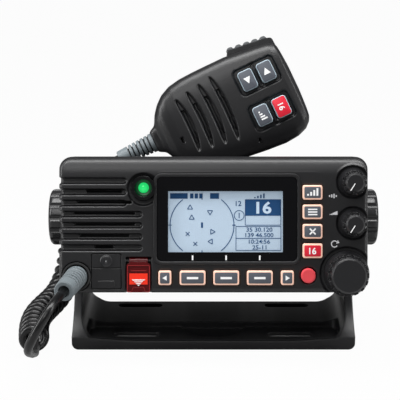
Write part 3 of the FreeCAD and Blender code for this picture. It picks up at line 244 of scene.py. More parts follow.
def disc_grid(x, z, profile):
    """A turned form about the front axis: each profile point (radius, y) is a ring."""
    angles = np.linspace(0, 2 * math.pi, DISC_POINTS, endpoint=False)
    radius, y = np.array(profile, float).T
    return np.stack([x + radius[:, None] * np.cos(angles), np.repeat(y[:, None], DISC_POINTS, 1),
                     z + radius[:, None] * np.sin(angles)], -1)


def prisms(name, outlines, front, thick, finish, body, place=on_radio):
    """Flat marks as one mesh: each outline in x and z is drawn at y front and again
    a thickness behind it, joined by a band of quads."""
    points, faces = [], []
    for outline in outlines:
        outline = np.asarray(outline, float)
        count, first = len(outline), sum(map(len, points))
        for y in (front, front + thick):
            points.append(np.insert(outline, 1, y, axis=1))
        ring = first + np.arange(count)
        after = np.roll(ring, -1)
        faces.append(ring.tolist())
        faces.append((ring + count)[::-1].tolist())
        faces += np.stack([ring, ring + count, after + count, after], -1).tolist()
    made = mesh_object(name, place(np.concatenate(points)), faces, finish, None, False)
    outwards(made)
    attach(made, body)
    return made


def bar(x, z, width, height):
    """The four corners of an upright rectangle about x, z."""
    return [(x - width / 2, z - height / 2), (x + width / 2, z - height / 2),
            (x + width / 2, z + height / 2), (x - width / 2, z + height / 2)]


def stroke(x1, z1, x2, z2, width):
    """The four corners of a straight stroke between two points."""
    way = np.array([x2 - x1, z2 - z1], float)
    side = np.array([-way[1], way[0]]) / np.hypot(*way) * width / 2
    a, b = np.array([x1, z1]), np.array([x2, z2])
    return [a - side, b - side, b + side, a + side]


def hoop(x, z, radius, width, start=0.0, end=360.0, pieces=16):
    """A round line as short straight pieces between two angles in degrees."""
    angles = np.radians(np.linspace(start, end, pieces + 1))
    inner, outer = radius - width / 2, radius + width / 2
    found = []
    for a, b in zip(angles[:-1], angles[1:]):
        found.append([(x + r * math.cos(t), z + r * math.sin(t))
                      for r, t in ((inner, a), (outer, a), (outer, b), (inner, b))])
    return found


def as_mesh(name, curve):
    """The plain mesh that a curve or a text comes to."""
    holder = placed(name, curve)
    bpy.context.view_layer.update()
    mesh = bpy.data.meshes.new_from_object(holder.evaluated_get(bpy.context.evaluated_depsgraph_get()))
    bpy.data.objects.remove(holder)
    return mesh


def figures(name, words, x, z, height, front, thick, finish, body, place=on_radio, bold=0.0, squeeze=1.0):
    """Plain figures from Blender's own font, centred on x, z and set in a thin slab."""
    text = bpy.data.curves.new(name, "FONT")
    text.body = words
    text.align_x, text.align_y = "CENTER", "CENTER"
    text.size = 1.0
    text.offset = bold
    text.extrude = 0.01
    text.resolution_u = 3
    mesh = as_mesh(name, text)
    flat = np.array([v.co for v in mesh.vertices], float)
    low, high = flat.min(0), flat.max(0)
    scale = height / (high[1] - low[1])
    middle = (low + high) / 2
    points = np.empty_like(flat)
    points[:, 0] = x + (flat[:, 0] - middle[0]) * scale * squeeze
    points[:, 1] = front + thick * (flat[:, 2] < middle[2])
    points[:, 2] = z + (flat[:, 1] - middle[1]) * scale
    mesh.vertices.foreach_set("co", place(points).ravel())
    mesh.materials.clear()
    mesh.materials.append(finish)
    mesh.update()
    made = placed(name, mesh)
    outwards(made)
    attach(made, body)


# %% [markdown]
# A finish is a small network of shader nodes. Signal wraps one output so that
# sums can be written as sums, and Paint.node adds any other node.

# %% Finish helpers


class Signal:
    """One output of a node. Each operator adds the Math node that does the sum."""

    def __init__(self, paint, socket):
        self.paint, self.socket = paint, socket

    def __add__(self, other):
        return self.paint.math("ADD", self, other)

    __radd__ = __add__

    def __sub__(self, other):
        return self.paint.math("SUBTRACT", self, other)

    def __rsub__(self, other):
        return self.paint.math("SUBTRACT", other, self)

    def __mul__(self, other):
        return self.paint.math("MULTIPLY", self, other)

    __rmul__ = __mul__

    def below(self, level):
        return self.paint.math("LESS_THAN", self, level)

    def absolute(self):
        return self.paint.math("ABSOLUTE", self, 0.0)


class Paint:
    """A finish, or the world's air, and its node tree. node() takes a type, settings
    and socket values."""

    def __init__(self, name, kind="materials"):
        self.holder = getattr(bpy.data, kind).new(name)
        self.holder.use_nodes = True
        self.end = "ShaderNodeOutputWorld" if kind == "worlds" else "ShaderNodeOutputMaterial"
        self.tree = self.holder.node_tree
        self.tree.nodes.clear()

    def node(self, kind, settings=None, sockets=None, output=0):
        made = self.tree.nodes.new("ShaderNode" + kind)
        for setting, value in (settings or {}).items():
            setattr(made, setting, value)
        for place, value in (sockets or {}).items():
            if isinstance(value, Signal):
                self.tree.links.new(value.socket, made.inputs[place])
            else:
                made.inputs[place].default_value = value
        return Signal(self, made.outputs[output])

    def math(self, operation, first, second):
        return self.node("Math", {"operation": operation}, {0: first, 1: second})

    def place(self):
        return self.node("TexCoord", output="Object")

    def finish(self, surface):
        end = self.tree.nodes.new(self.end)
        self.tree.links.new(surface.socket, end.inputs["Surface"])
        return self.holder


def colour(red, green, blue):
    """A colour given in the 0 to 255 numbers of a picture, as linear light."""
    shares = np.array([red, green, blue]) / 255
    linear = np.where(shares <= 0.04045, shares / 12.92, ((shares + 0.055) / 1.055) ** 2.4)
    return (*linear.tolist(), 1.0)


def moulded(name, tone, roughness, grain=0.0, grain_size=0.5, edge=0.35, metallic=0.0, specular=0.5):
    """A moulded or cast skin: fine grain as a bump, and edges softened in the light."""
    paint = Paint(name)
    normal = None
    if edge:
        normal = paint.node("Bevel", {"samples": 4}, {"Radius": edge * MM})
    if grain:
        noise = paint.node("TexNoise", {}, {"Vector": paint.place(), "Scale": 1 / (grain_size * MM),
                                            "Detail": 2.0, "Roughness": 0.6})
        sockets = {"Strength": grain, "Distance": 0.1 * MM, "Height": noise}
        if normal:
            sockets["Normal"] = normal
        normal = paint.node("Bump", {}, sockets)
    sockets = {"Base Color": tone, "Roughness": roughness, "Metallic": metallic,
               "Specular IOR Level": specular}
    if normal:
        sockets["Normal"] = normal
    return paint.finish(paint.node("BsdfPrincipled", {}, sockets))


def glowing(name, tone, strength, roughness=0.4):
    """A lit or translucent plastic: its colour, plus light of that colour."""
    paint = Paint(name)
    sockets = {"Base Color": tone, "Roughness": roughness, "Emission Color": tone,
               "Emission Strength": strength}
    return paint.finish(paint.node("BsdfPrincipled", {}, sockets))


# %% [markdown]
# The radio is mostly one dark, finely grained plastic. The castings are painted,
# the bracket is smoother, and the boots are grey rubber.

# %% Finishes
HOUSING = moulded("housing_plastic", colour(18, 18, 20), 0.4, grain=0.45, grain_size=0.45)
HOUSING_SKIN = moulded("housing_skin", colour(18, 18, 20), 0.4, grain=0.45, grain_size=0.45, edge=0.0)
KNOB = moulded("knob_plastic", colour(25, 25, 27), 0.33, grain=0.15, grain_size=0.3)
BRACKET = moulded("bracket_plastic", colour(22, 22, 24), 0.36, grain=0.2, grain_size=0.5, edge=1.4)
CASTING = moulded("painted_casting", colour(26, 26, 28), 0.5, grain=0.4, grain_size=0.6)
RUBBER = moulded("black_rubber", colour(24, 24, 25), 0.6, edge=0.2)
CORD = moulded("cord_rubber", colour(11, 11, 12), 0.3, edge=0.0, specular=0.4)
GRIP = moulded("grip_rubber", colour(92, 94, 96), 0.5, edge=0.0)
GLOSS_BLACK = moulded("gloss_black", colour(7, 7, 8), 0.16, edge=0.3)
STEEL = moulded("steel", colour(190, 190, 192), 0.28, edge=0.2, metallic=1.0)
BRASS = moulded("brass", colour(196, 168, 96), 0.3, edge=0.2, metallic=1.0)
BOARD = moulded("circuit_board", colour(24, 66, 46), 0.5, edge=0.0)
SLATE = moulded("slate_key_paint", colour(74, 78, 86), 0.45, edge=0.1)
RED = moulded("red_key_paint", colour(200, 22, 46), 0.4, edge=0.1)
MESH = moulded("speaker_cloth", colour(8, 8, 8), 0.9, edge=0.0)
WHITE = moulded("white_ink", colour(236, 236, 236), 0.5, edge=0.0)
PALE = moulded("pale_ink", colour(198, 199, 202), 0.5, edge=0.0)
RIM = glowing("lit_key_rim", colour(230, 188, 168), 0.2)
GREY_RIM = moulded("grey_key_rim", colour(150, 166, 176), 0.35, edge=0.0)
SCREEN = glowing("lit_screen", colour(168, 186, 203), 0.45, roughness=0.7)
INK = moulded("screen_blue", colour(0, 66, 116), 0.8, edge=0.0)
GREEN = glowing("green_lamp", colour(40, 214, 110), 0.75, roughness=0.12)
GREEN_DIM = glowing("green_lamp_ring", colour(10, 66, 34), 0.5, roughness=0.3)
RED_LIT = glowing("lit_red", colour(206, 40, 20), 0.4, roughness=0.3)
RED_EDGE = glowing("red_edge", colour(132, 36, 38), 0.12, roughness=0.2)
ORANGE = glowing("distress_button", colour(232, 96, 78), 0.1)
FLAP = moulded("red_cover", colour(78, 8, 12), 0.18, edge=0.1)
POWER_RED = moulded("power_red", colour(216, 70, 78), 0.35, edge=0.1)


def boot_finish_with_groove_shade():
    """Grey rubber with painted shade in its grooves: nearly black there, by the mesh's own "groove" value.
    """
    paint = Paint("grey_boot_groove_shade")
    groove = paint.node("Attribute", {"attribute_name": "groove"}, output="Fac")
    # Painted shade: colour 7, nearly black, goes into the grooves, where shade falls.
    tones = {0: groove, 6: colour(108, 116, 120), 7: colour(14, 14, 15)}
    tone = paint.node("Mix", {"data_type": "RGBA"}, tones, output=2)
    return paint.finish(paint.node("BsdfPrincipled", {}, {"Base Color": tone, "Roughness": 0.42}))


BOOT = boot_finish_with_groove_shade()


def window_finish():
    """A glossy pane: clear over the screen and black behind its border. The mask is
    1 inside a box in the radio's own frame, from the pane's Object coordinates."""
    paint = Paint("display_pane")
    mapped = paint.node("Mapping", {"vector_type": "TEXTURE"},
                        {"Vector": paint.place(), "Location": (RADIO_PLACE * MM).tolist(),
                         "Rotation": (TILT, 0, 0)})
    split = paint.node("SeparateXYZ", {}, {0: mapped})
    along = split
    up = Signal(paint, split.socket.node.outputs[2])
    inside = ((along - SCREEN_X * MM).absolute().below(SCREEN_HALF_X * MM)
              * (up - SCREEN_Z * MM).absolute().below(SCREEN_HALF_Z * MM))
    alpha = 1 - inside * 0.93
    return paint.finish(paint.node("BsdfPrincipled", {}, {
        "Base Color": colour(10, 10, 12), "Roughness": 0.06, "Alpha": alpha,
        "Specular IOR Level": 0.25}))


SCREEN_X, SCREEN_Z = 7.0, 1.85
SCREEN_HALF_X, SCREEN_HALF_Z = 33.4, 17.8
WINDOW = window_finish()

NODE_FINISH = {
    BRACKET: ["bracket"], CASTING: ["chassis"],
    HOUSING: ["front_housing", "service_cover", "handset_front", "handset_rear", "control_bodies"],
    KNOB: ["distress_pin", "clamp_knob_left", "clamp_knob_right", "squelch_knob", "volume_knob",
           "dial_knob", "speaker"],
    GLOSS_BLACK: ["status_bezel"],
    RUBBER: ["friction_washers", "front_gasket", "keypad_mat", "handset_ptt", "mic_socket"],
    STEEL: ["clamp_stud_left", "clamp_stud_right", "squelch_shaft", "volume_shaft", "dial_shaft",
            "housing_screws", "hang_stud", "handset_screws", "antenna_socket", "mic_capsule"],
    BRASS: ["data_socket", "power_inlet"], BOARD: ["front_board", "main_board", "handset_board"],
    MESH: ["speaker_mesh"], WINDOW: ["display_window"], SCREEN: ["lcd_module"], GREEN: ["status_lens"],
    RIM: ["key_power_level", "key_menu", "key_clear", "key_left", "key_soft_1", "key_soft_2", "key_soft_3",
          "key_right", "key_sixteen"],
    POWER_RED: ["key_power"], FLAP: ["distress_cover"], ORANGE: ["distress_button"],
    GREY_RIM: ["handset_key_up", "handset_key_down", "handset_key_power", "handset_key_sixteen"],
    BOOT: ["radio_boot", "handset_boot"], CORD: ["cord_curl", "cord_lead", "cord_tail"],
}
for finish, names in NODE_FINISH.items():
    for name in names:
        nodes[name].data.materials.clear()
        nodes[name].data.materials.append(finish)
print("finished nodes:", sum(map(len, NODE_FINISH.values())))

# %% [markdown]
# The floor is a pale sheet that glows white to the camera, except under the bracket, where its glow is
# taken away as painted shade and the lamps' own shadow shows. Soft boxes light the radio from above, from
# both sides and from the front, and a pale world fills the shadows.

# %% Stage
floor_mesh = bpy.data.meshes.new("floor")
REACH = 6.0
floor_mesh.from_pydata([(x * REACH, y * REACH, 0) for x, y in ((-1, -1), (1, -1), (1, 1), (-1, 1))], [],
                       [(0, 1, 2, 3)])
placed("floor", floor_mesh)
floor_paint = Paint("floor_sheet")
floor_skin = floor_paint.node("BsdfPrincipled", {}, {"Base Color": (0.4, 0.4, 0.4, 1), "Roughness": 0.9,
                                                     "Specular IOR Level": 0.0})
floor_glow = floor_paint.node("Emission", {}, {"Color": (1, 1, 1, 1), "Strength": 1.0})
seen = floor_paint.node("LightPath", output="Is Camera Ray")
where = floor_paint.node("SeparateXYZ", {}, {0: floor_paint.place()})
where_y = Signal(floor_paint, where.socket.node.outputs[1])
bracket_low, bracket_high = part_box("bracket")
foot_middle, foot_half = (bracket_low[1] + bracket_high[1]) / 2, (bracket_high[1] - bracket_low[1]) / 2
# Painted shade: inside the bracket's footprint the floor loses its glow, so it reads dark there.
painted_shade_under_bracket = (where.absolute().below(bracket_high[0] - 6 * MM)
         * (where_y - foot_middle).absolute().below(foot_half - 4 * MM))
floor_mesh.materials.append(floor_paint.finish(
    floor_paint.node("MixShader", {}, {0: seen * (0.97 - painted_shade_under_bracket * 0.95), 1: floor_skin, 2: floor_glow})))

GLOSSY_LEVEL, FILL_LEVEL = 0.2, 0.12
air = Paint("studio", "worlds")
direct = air.node("LightPath", output="Is Camera Ray")
through = air.node("LightPath", output="Is Transmission Ray")
glossy = air.node("LightPath", output="Is Glossy Ray")
level = air.math("MAXIMUM", glossy * GLOSSY_LEVEL + air.math("MAXIMUM", direct, through), FILL_LEVEL)
sky = air.node("Background", {}, {"Strength": level})
bpy.context.scene.world = air.finish(sky)


def soft_box(name, place, aim, width, height, power):
    """A rectangular lamp at a place in metres that faces a point."""
    data = bpy.data.lights.new(name, "AREA")
    data.shape = "RECTANGLE"
    data.size, data.size_y, data.energy = width, height, power
    lamp = placed(name, data)
    lamp.location = place
    lamp.rotation_euler = (Vector(aim) - Vector(place)).to_track_quat("-Z", "Y").to_euler()


CENTRE = (0, 0, 0.08)
soft_box("top_box", (0.0, -0.1, 0.85), CENTRE, 1.0, 0.3, 11.0)
soft_box("left_box", (-0.85, -0.25, 0.4), CENTRE, 0.2, 0.8, 6.0)
soft_box("right_box", (0.85, -0.2, 0.4), CENTRE, 0.2, 0.7, 4.0)
soft_box("front_box", (-0.25, -1.0, 0.9), CENTRE, 0.6, 0.4, 4.0)

# %% [markdown]
# The curly cord is one free length: a straight lead out of the grey boot, then
# turns round a route beside and behind the bracket. A second short length runs
# from the end of the curl up to the handset. The curl's radius grows from
# nothing over its first turn and closes again over its last.

# %% Cord routes
CORD_DIAMETER = 5.0
CURL_RADIUS, CURL_PITCH, END_STRETCH = 6.9, 7.3, 4.0
POINTS_PER_TURN, POINTS_PER_BEND = 16, 5
CURL_AXIS = np.array([(-104.3, -62, 12.6), (-108.5, -38, 10.2), (-111, -10, 10.1), (-108, 12, 10.1),
                      (-102.5, 34, 11.8), (-98.5, 52, 20), (-96.3, 62, 36), (-95.5, 64, 54), (-95, 60, 70)])
LEAD = np.array([(-83.39, -82.05, 53.67), (-87.51, -110.75, 54.23), (-102.0, -113.6, 29.4),
                 (-100.57, -84.35, 16.54)])
TAIL = np.array([(-94.23, 52.41, 87.4), (-93.6, 40.0, 99.5), (-80.0, 19.0, 105.4), (-63.95, 15.17, 105.25),
                 (-57.17, 15.84, 108.4)])


def spline(knots, count):
    """The smooth line through the knots: on each span a cubic whose second
    derivatives come from one linear system, with none at the two ends."""
    spans = np.linalg.norm(np.diff(knots, axis=0), axis=1)
    at = np.concatenate([[0], np.cumsum(spans)])
    inner = len(knots) - 2
    system = np.eye(len(knots))
    rows = np.arange(1, inner + 1)
    system[rows, rows - 1], system[rows, rows] = spans[:-1], 2 * (spans[:-1] + spans[1:])
    system[rows, rows + 1] = spans[1:]
    slopes = np.diff(knots, axis=0) / spans[:, None]
    known = np.zeros_like(knots)
    known[1:-1] = 6 * np.diff(slopes, axis=0)
    bend = np.linalg.solve(system, known)
    t = np.linspace(0, at[-1], count)
    span = np.clip(np.searchsorted(at, t, side="right") - 1, 0, len(spans) - 1)
    h, left, right = spans[span][:, None], (t - at[span])[:, None], (at[span + 1] - t)[:, None]
    a, b = bend[span], bend[span + 1]
    return (a * right ** 3 + b * left ** 3) / (6 * h) + (knots[span] / h - a * h / 6) * right \
        + (knots[span + 1] / h - b * h / 6) * left


def along(points):
    """The distance travelled at each point of a line."""
    return np.concatenate([[0], np.cumsum(np.linalg.norm(np.diff(points, axis=0), axis=1))])


def curl_points():
    """The helix: at turn t a point of the route plus the radius along two cross
    directions, cosine along the side and sine along the rise."""
    route = spline(CURL_AXIS, 800)
    distance = along(route)
    turns = int(distance[-1] / CURL_PITCH) - 2
    t = np.linspace(0, turns, turns * POINTS_PER_TURN + 1)
    extra = END_STRETCH - 1

    def stretched(value):
        return np.where(value < 1, value * END_STRETCH - extra * value ** 2 / 2, value + extra / 2)

    plain = np.where(t > turns / 2, turns + extra - stretched(turns - t), stretched(t))
    reach = plain / (turns + extra) * distance[-1]
    centre = np.stack([np.interp(reach, distance, route[:, k]) for k in range(3)], -1)
    way = np.gradient(centre, axis=0)
    way /= np.linalg.norm(way, axis=1)[:, None]
    side = np.array([1.0, 0, 0]) - way * way[:, :1]
    side /= np.linalg.norm(side, axis=1)[:, None]
    rise = np.cross(side, way)
    opening = np.clip(np.minimum(t, turns - t), 0, 1)
    radius = (CURL_RADIUS * opening ** 2 * (3 - 2 * opening))[:, None]
    angle = (2 * math.pi * t + math.radians(150))[:, None]
    return centre + side * radius * np.cos(angle) + rise * radius * np.sin(angle)


def eased(corners):
    """A line of straight runs whose corners are eased by points of a parabola:
    (1-s)^2 near + 2s(1-s) corner + s^2 far, with near and far 0.45 of the way."""
    found = [corners[:1]]
    s = np.linspace(0, 1, POINTS_PER_BEND)[:, None]
    for before, corner, after in zip(corners, corners[1:], corners[2:]):
        trim = 0.45 * min(np.linalg.norm(before - corner), np.linalg.norm(after - corner))
        near = corner + (before - corner) / np.linalg.norm(before - corner) * trim
        far = corner + (after - corner) / np.linalg.norm(after - corner) * trim
        found.append((1 - s) ** 2 * near + 2 * s * (1 - s) * corner + s ** 2 * far)
    return np.concatenate(found + [corners[-1:]])


def nurbs(name, points, bevel):
    """A quadratic NURBS line through a row of control points, as a mesh."""
    curve = bpy.data.curves.new(name, "CURVE")
    curve.dimensions = "3D"
    curve.bevel_depth = bevel
    curve.bevel_resolution = 4
    curve.use_fill_caps = True
    line = curve.splines.new("NURBS")
    line.points.add(len(points) - 1)
    line.points.foreach_set("co", np.insert(points * MM, 3, 1.0, axis=1).ravel())
    line.order_u = 3
    line.use_endpoint_u = True
    line.resolution_u = 2
    line.use_smooth = True
    return as_mesh(name, curve)


def cord_piece(name, points, stands_for):
    """A cord as a tube mesh, in place of the CAD parts it stands for, with its length printed."""
    thin = nurbs(name + "_line", points, 0.0)
    line = np.array([v.co for v in thin.vertices])
    length = along(line)[-1]
    mesh = nurbs(name, points, CORD_DIAMETER / 2 * MM)
    mesh.materials.clear()
    mesh.materials.append(CORD)
    mesh.polygons.foreach_set("use_smooth", [True] * len(mesh.polygons))
    made = placed(name, mesh)
    outwards(made)
    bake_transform(made)
    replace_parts(made, *stands_for)
    print(name, "length %.3f m" % length, "points", len(points))


# %% [markdown]
# Each cord goes in as a tube on its route, and its length is printed; the short length reaches for the
# handset.

# %% Cords
curl = curl_points()
long_cord = np.concatenate([eased(LEAD), curl[1:]])
cord_piece("curly_cord", long_cord, ["cord_lead", "cord_curl"])
tail_points = np.concatenate([curl[-1:], eased(TAIL)])
cord_piece("handset_cord", tail_points, ["cord_tail"])

# %% [markdown]
# The display shows a plain picture of a radio at work: a circle with marks, a
# channel number and rows of figures. It is drawn in flat marks on the screen.

# %% Display picture
PIXEL = 1 / 1.72
MIDDLE_COLUMN, MIDDLE_ROW = 213.45, 225
SCREEN_FRONT = FACE + 2.2
INK_FRONT, INK_THICK, LINE = SCREEN_FRONT - 0.02, 0.1, 0.45


def spot(px, py):
    """A place on the panel from its column and row on the panel's drawing, as the
    distance from the drawing's middle divided by its scale, 1.72 to a millimetre."""
    return (px - MIDDLE_COLUMN) * PIXEL, (MIDDLE_ROW - py) * PIXEL


def box_marks(left, top, right, bottom):
    """A filled box between two places of the drawing."""
    (x1, z1), (x2, z2) = spot(left, top), spot(right, bottom)
    return bar((x1 + x2) / 2, (z1 + z2) / 2, x2 - x1, z1 - z2)


def cross(x, z, reach, width):
    """Two strokes that cross at x, z."""
    return [stroke(x - reach, z - way * reach, x + reach, z + way * reach, width) for way in (1, -1)]


def signal_bars(x, z, count, pitch, width, step):
    """Upright bars on one foot line, each a step taller than the one before."""
    return [bar(x + pitch * k, z + step * (k + 1) / 2, width, step * (k + 1)) for k in range(count)]


def small_triangle(px, py, size, turn):
    """A small outlined triangle, as three strokes, turned by an angle."""
    x, z = spot(px, py)
    angles = np.radians(np.array([90, 210, 330]) + turn)
    corners = np.stack([x + size * np.cos(angles), z + size * np.sin(angles)], -1)
    return [stroke(*corners[k], *corners[(k + 1) % 3], LINE) for k in range(3)]


marks = []
centre_x, centre_z = spot(202, 225.3)
plot_radius = 32 * PIXEL
marks += hoop(centre_x, centre_z, plot_radius, 0.5, -53, 53, 20)
marks += hoop(centre_x, centre_z, plot_radius, 0.5, 127, 233, 20)
marks += [bar(centre_x + side * plot_radius, centre_z, 2.0, 0.5) for side in (-1, 1)]
marks += [bar(centre_x, centre_z + side * 15.4, 0.5, 1.4) for side in (-1, 1)]
TRIANGLES = [(190, 207.8, 0), (210, 212.2, 180), (191.7, 218, 0), (212.2, 232, -90), (210.8, 241.7, 90)]
for px, py, turn in TRIANGLES:
    marks += small_triangle(px, py, 1.7, turn)
for px, py in ((187.6, 234.1), (195.3, 244.1)):
    marks += cross(*spot(px, py), 1.1, LINE)
FILLED = [(201, 222.6, 203, 228), (170, 193.3, 187.6, 198.9), (210, 193.3, 219, 198.9),
          (190, 193.6, 193.4, 198.6), (194.6, 193.6, 198, 198.6), (199.2, 193.6, 202.6, 198.6),
          (245.3, 199.7, 280.9, 215.9)]
marks += [box_marks(*sides) for sides in FILLED]
for left, top, right, bottom in ((245.3, 199.7, 280.9, 225.3), (236, 226.6, 281, 250.6)):
    (x1, z1), (x2, z2) = spot(left, top), spot(right, bottom)
    marks += [bar((x1 + x2) / 2, z, x2 - x1, 0.35) for z in (z1, z2)]
    marks += [bar(x, (z1 + z2) / 2, 0.35, z1 - z2) for x in (x1, x2)]
marks.append(box_marks(236, 238.2, 281, 238.9))
cx, cz = spot(239.2, 215.6)
marks += hoop(cx, cz, 2.9, 0.4) + [stroke(cx, cz - 1.6, cx, cz + 1.6, 0.5)]
marks += signal_bars(*spot(255, 198.4), 4, 3.0 * PIXEL, 0.9, 0.7)
prisms("screen_marks", marks, INK_FRONT, INK_THICK, INK, "radio")
FIGURE_ROWS = [("35 30.120", 229.8), ("139 46.500", 235.3), ("10:24:56", 241.8), ("25-11", 247.6)]
for number, (words, py) in enumerate(FIGURE_ROWS, 1):
    figures("screen_row_%d" % number, words, *spot(259.5, py), 2.5, INK_FRONT, INK_THICK, INK, "radio",
            bold=0.012, squeeze=1.12)
figures("screen_speed", "12", *spot(238.6, 203.6), 3.0, INK_FRONT, INK_THICK, INK, "radio", bold=0.012)
figures("screen_channel", "16", *spot(264, 207.8), 7.2, SCREEN_FRONT - 0.05, INK_THICK, SCREEN, "radio",
        bold=0.03, squeeze=1.15)
ticks = [bar(*spot(px, 257.7), 0.9, 2.7) for px in (192.6, 226.1, 259.7)]
prisms("window_ticks", ticks, FACE - 0.03, INK_THICK, WHITE, "radio")
print("marks on the screen:", len(marks))

# %% [markdown]
# A bright line runs round the window, where its frame catches the light.

# %% Window frame
WINDOW_X, WINDOW_Z, WINDOW_HALF_X, WINDOW_HALF_Z = 7.9, 3.5, 42.9, 26.6


def frame_object(name, x, z, half_x, half_z, corner, section, finish, body):
    """A closed frame on the radio's front: each section point (inset, y) is carried
    round the outline, and the last point joins the first."""
    rows = list(plate_grid(x, z, half_x, half_z, corner, section))
    grid_object(name, np.stack(rows + rows[:1]), finish, body, capped=False)


FRAME_SECTION = [(0.0, FACE + 0.4), (0.25, FACE - 0.35), (0.7, FACE - 0.5), (1.9, FACE - 0.15),
                 (2.1, FACE + 0.4)]
frame_object("window_frame", WINDOW_X, WINDOW_Z, WINDOW_HALF_X, WINDOW_HALF_Z, 5.0, FRAME_SECTION, HOUSING,
             "radio")
print("window frame: %.1f by %.1f mm" % (2 * WINDOW_HALF_X, 2 * WINDOW_HALF_Z))

# %% [markdown]
# Each key is a lit cap whose face is painted slate or red, so a pale rim stays
# all round. The marks on the faces are plain signs and figures.

# %% Keys
KEY_RISE, KEY_CORNER, KEY_RIM = 1.6, 1.2, 0.95
SIDE_X, SIDE_TOP, SIDE_PITCH, SIDE_SIZE = 57.5, 19.0, 11.3, (11.5, 8.4)
SIDE_NAMES = ["key_power_level", "key_menu", "key_clear", "key_sixteen"]
SIDE_KEYS = [(name, SIDE_X, SIDE_TOP - SIDE_PITCH * k) for k, name in enumerate(SIDE_NAMES)]
ROW_KEYS = [("key_left", -28.2, 7.5), ("key_soft_1", -12.1, 15.0), ("key_soft_2", 7.4, 15.0),
            ("key_soft_3", 26.9, 15.0), ("key_right", 42.9, 7.5)]
ROW_Z, ROW_HEIGHT = -30.6, 8.3
KEY_FRONT = FACE - KEY_RISE
MARK_FRONT, MARK_THICK = KEY_FRONT - 0.2, 0.12


def key_body(name):
    """A CAD key's own body."""
    return nodes[name]["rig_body"]


def painted_key(name, x, z, width, height, paint, place=on_radio, front=KEY_FRONT, corner=KEY_CORNER,
                rim=KEY_RIM, skirt=RIM, back=None):
    """A key cap with a round edge, and the painted face set on it."""
    body = key_body(name)
    back = front + KEY_RISE + 2.0 if back is None else back
    cap = plate_grid(x, z, width / 2, height / 2, corner, round_edge(front, back, 0.6))
    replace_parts(grid_object(name + "_cap", cap, skirt, body, place=place), name)
    face_edge = round_edge(front - 0.14, front + 0.1, 0.12, 2)
    face = plate_grid(x, z, width / 2 - rim, height / 2 - rim, corner * 0.7, face_edge)
    grid_object(name + "_face", face, paint, body, place=place)


def arrow(x, z, way_x, way_z, point, back, half):
    """A filled triangle whose point is ahead of x, z and whose base is behind it."""
    foot_x, foot_z = x - way_x * back, z - way_z * back
    return [(x + way_x * point, z + way_z * point), (foot_x - way_z * half, foot_z + way_x * half),
            (foot_x + way_z * half, foot_z - way_x * half)]


def key_mark(key, outlines, front=MARK_FRONT, place=on_radio):
    """White marks on a key's face, named after the key."""
    name = key.replace("handset_key", "mark_handset").replace("key_", "mark_")
    prisms(name, outlines, front, MARK_THICK, WHITE, key_body(key), place=place)


for name, x, z in SIDE_KEYS:
    painted_key(name, x, z, *SIDE_SIZE, RED if name == "key_sixteen" else SLATE)
for name, x, width in ROW_KEYS:
    painted_key(name, x, ROW_Z, width, ROW_HEIGHT, SLATE)
level_z, menu_z, clear_z, sixteen_z = (z for name, x, z in SIDE_KEYS)
key_mark("key_power_level", signal_bars(SIDE_X - 2.7, level_z - 1.9, 4, 1.8, 1.1, 1.1))
key_mark("key_menu", [bar(SIDE_X, menu_z + 1.5 * k, 5.4, 0.75) for k in (-1, 0, 1)])
key_mark("key_clear", cross(SIDE_X, clear_z, 1.7, 0.85))
figures("mark_sixteen", "16", SIDE_X, sixteen_z, 3.9, MARK_FRONT, MARK_THICK, WHITE,
        key_body("key_sixteen"), bold=0.025)
for name, x, width in ROW_KEYS[1:4]:
    key_mark(name, [bar(x, ROW_Z, 6.6, 1.3)])
for (name, x, width), way in ((ROW_KEYS[0], -1), (ROW_KEYS[4], 1)):
    key_mark(name, [arrow(x, ROW_Z, way, 0, 1.4, 1.1, 1.5)])
POWER_X, POWER_Z = 55.1, -29.4
POWER_PROFILE = [(4.3, FACE + 2), (4.3, KEY_FRONT + 0.7), (4.0, KEY_FRONT + 0.2), (3.4, KEY_FRONT),
                 (3.0, KEY_FRONT + 0.05)]
power = grid_object("key_power_cap", disc_grid(POWER_X, POWER_Z, POWER_PROFILE), POWER_RED,
                    key_body("key_power"))
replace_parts(power, "key_power")
print("keys on the panel:", len(SIDE_KEYS) + len(ROW_KEYS) + 1)

# %% [markdown]
# The housing is one moulding. Its face is worked out as a height over a grid:
# the depth behind the front at each x and z is the sum or the deepest of simple
# forms, such as a rounded rim, the grille's channels and the wells of the knobs.

# %% Housing face


def smooth(value, low, high):
    """The soft step: 0 below low, 1 above high, 3s^2 - 2s^3 in between."""
    s = np.clip((value - low) / (high - low), 0, 1)
    return s * s * (3 - 2 * s)


def box_distance(x, z, at, half, corner):
    """The distance outside a rounded rectangle, negative inside it: the length of
    what is past the inner box, less the corner's radius."""
    past_x = np.abs(x - at[0]) - half[0] + corner
    past_z = np.abs(z - at[1]) - half[1] + corner
    outside = np.hypot(np.maximum(past_x, 0), np.maximum(past_z, 0))
    return outside + np.minimum(np.maximum(past_x, past_z), 0) - corner


def disc_distance(x, z, at, radius):
    """The distance outside a circle, negative inside it."""
    return np.hypot(x - at[0], z - at[1]) - radius


def sunk(distance, depth, soft=0.5):
    """A recess of a depth inside a form, with a soft wall."""
    return depth * (1 - smooth(distance, -soft, soft * 0.3))


def eased_lines(half, edge, fine, count):
    """Grid lines from -half to half, closer together within edge of both ends."""
    near = edge * (1 - np.cos(np.linspace(0, math.pi / 2, fine + 1)))
    middle = np.linspace(-half + edge, half - edge, count)[1:-1]
    return np.concatenate([-half + near, middle, (half - near)[::-1]])


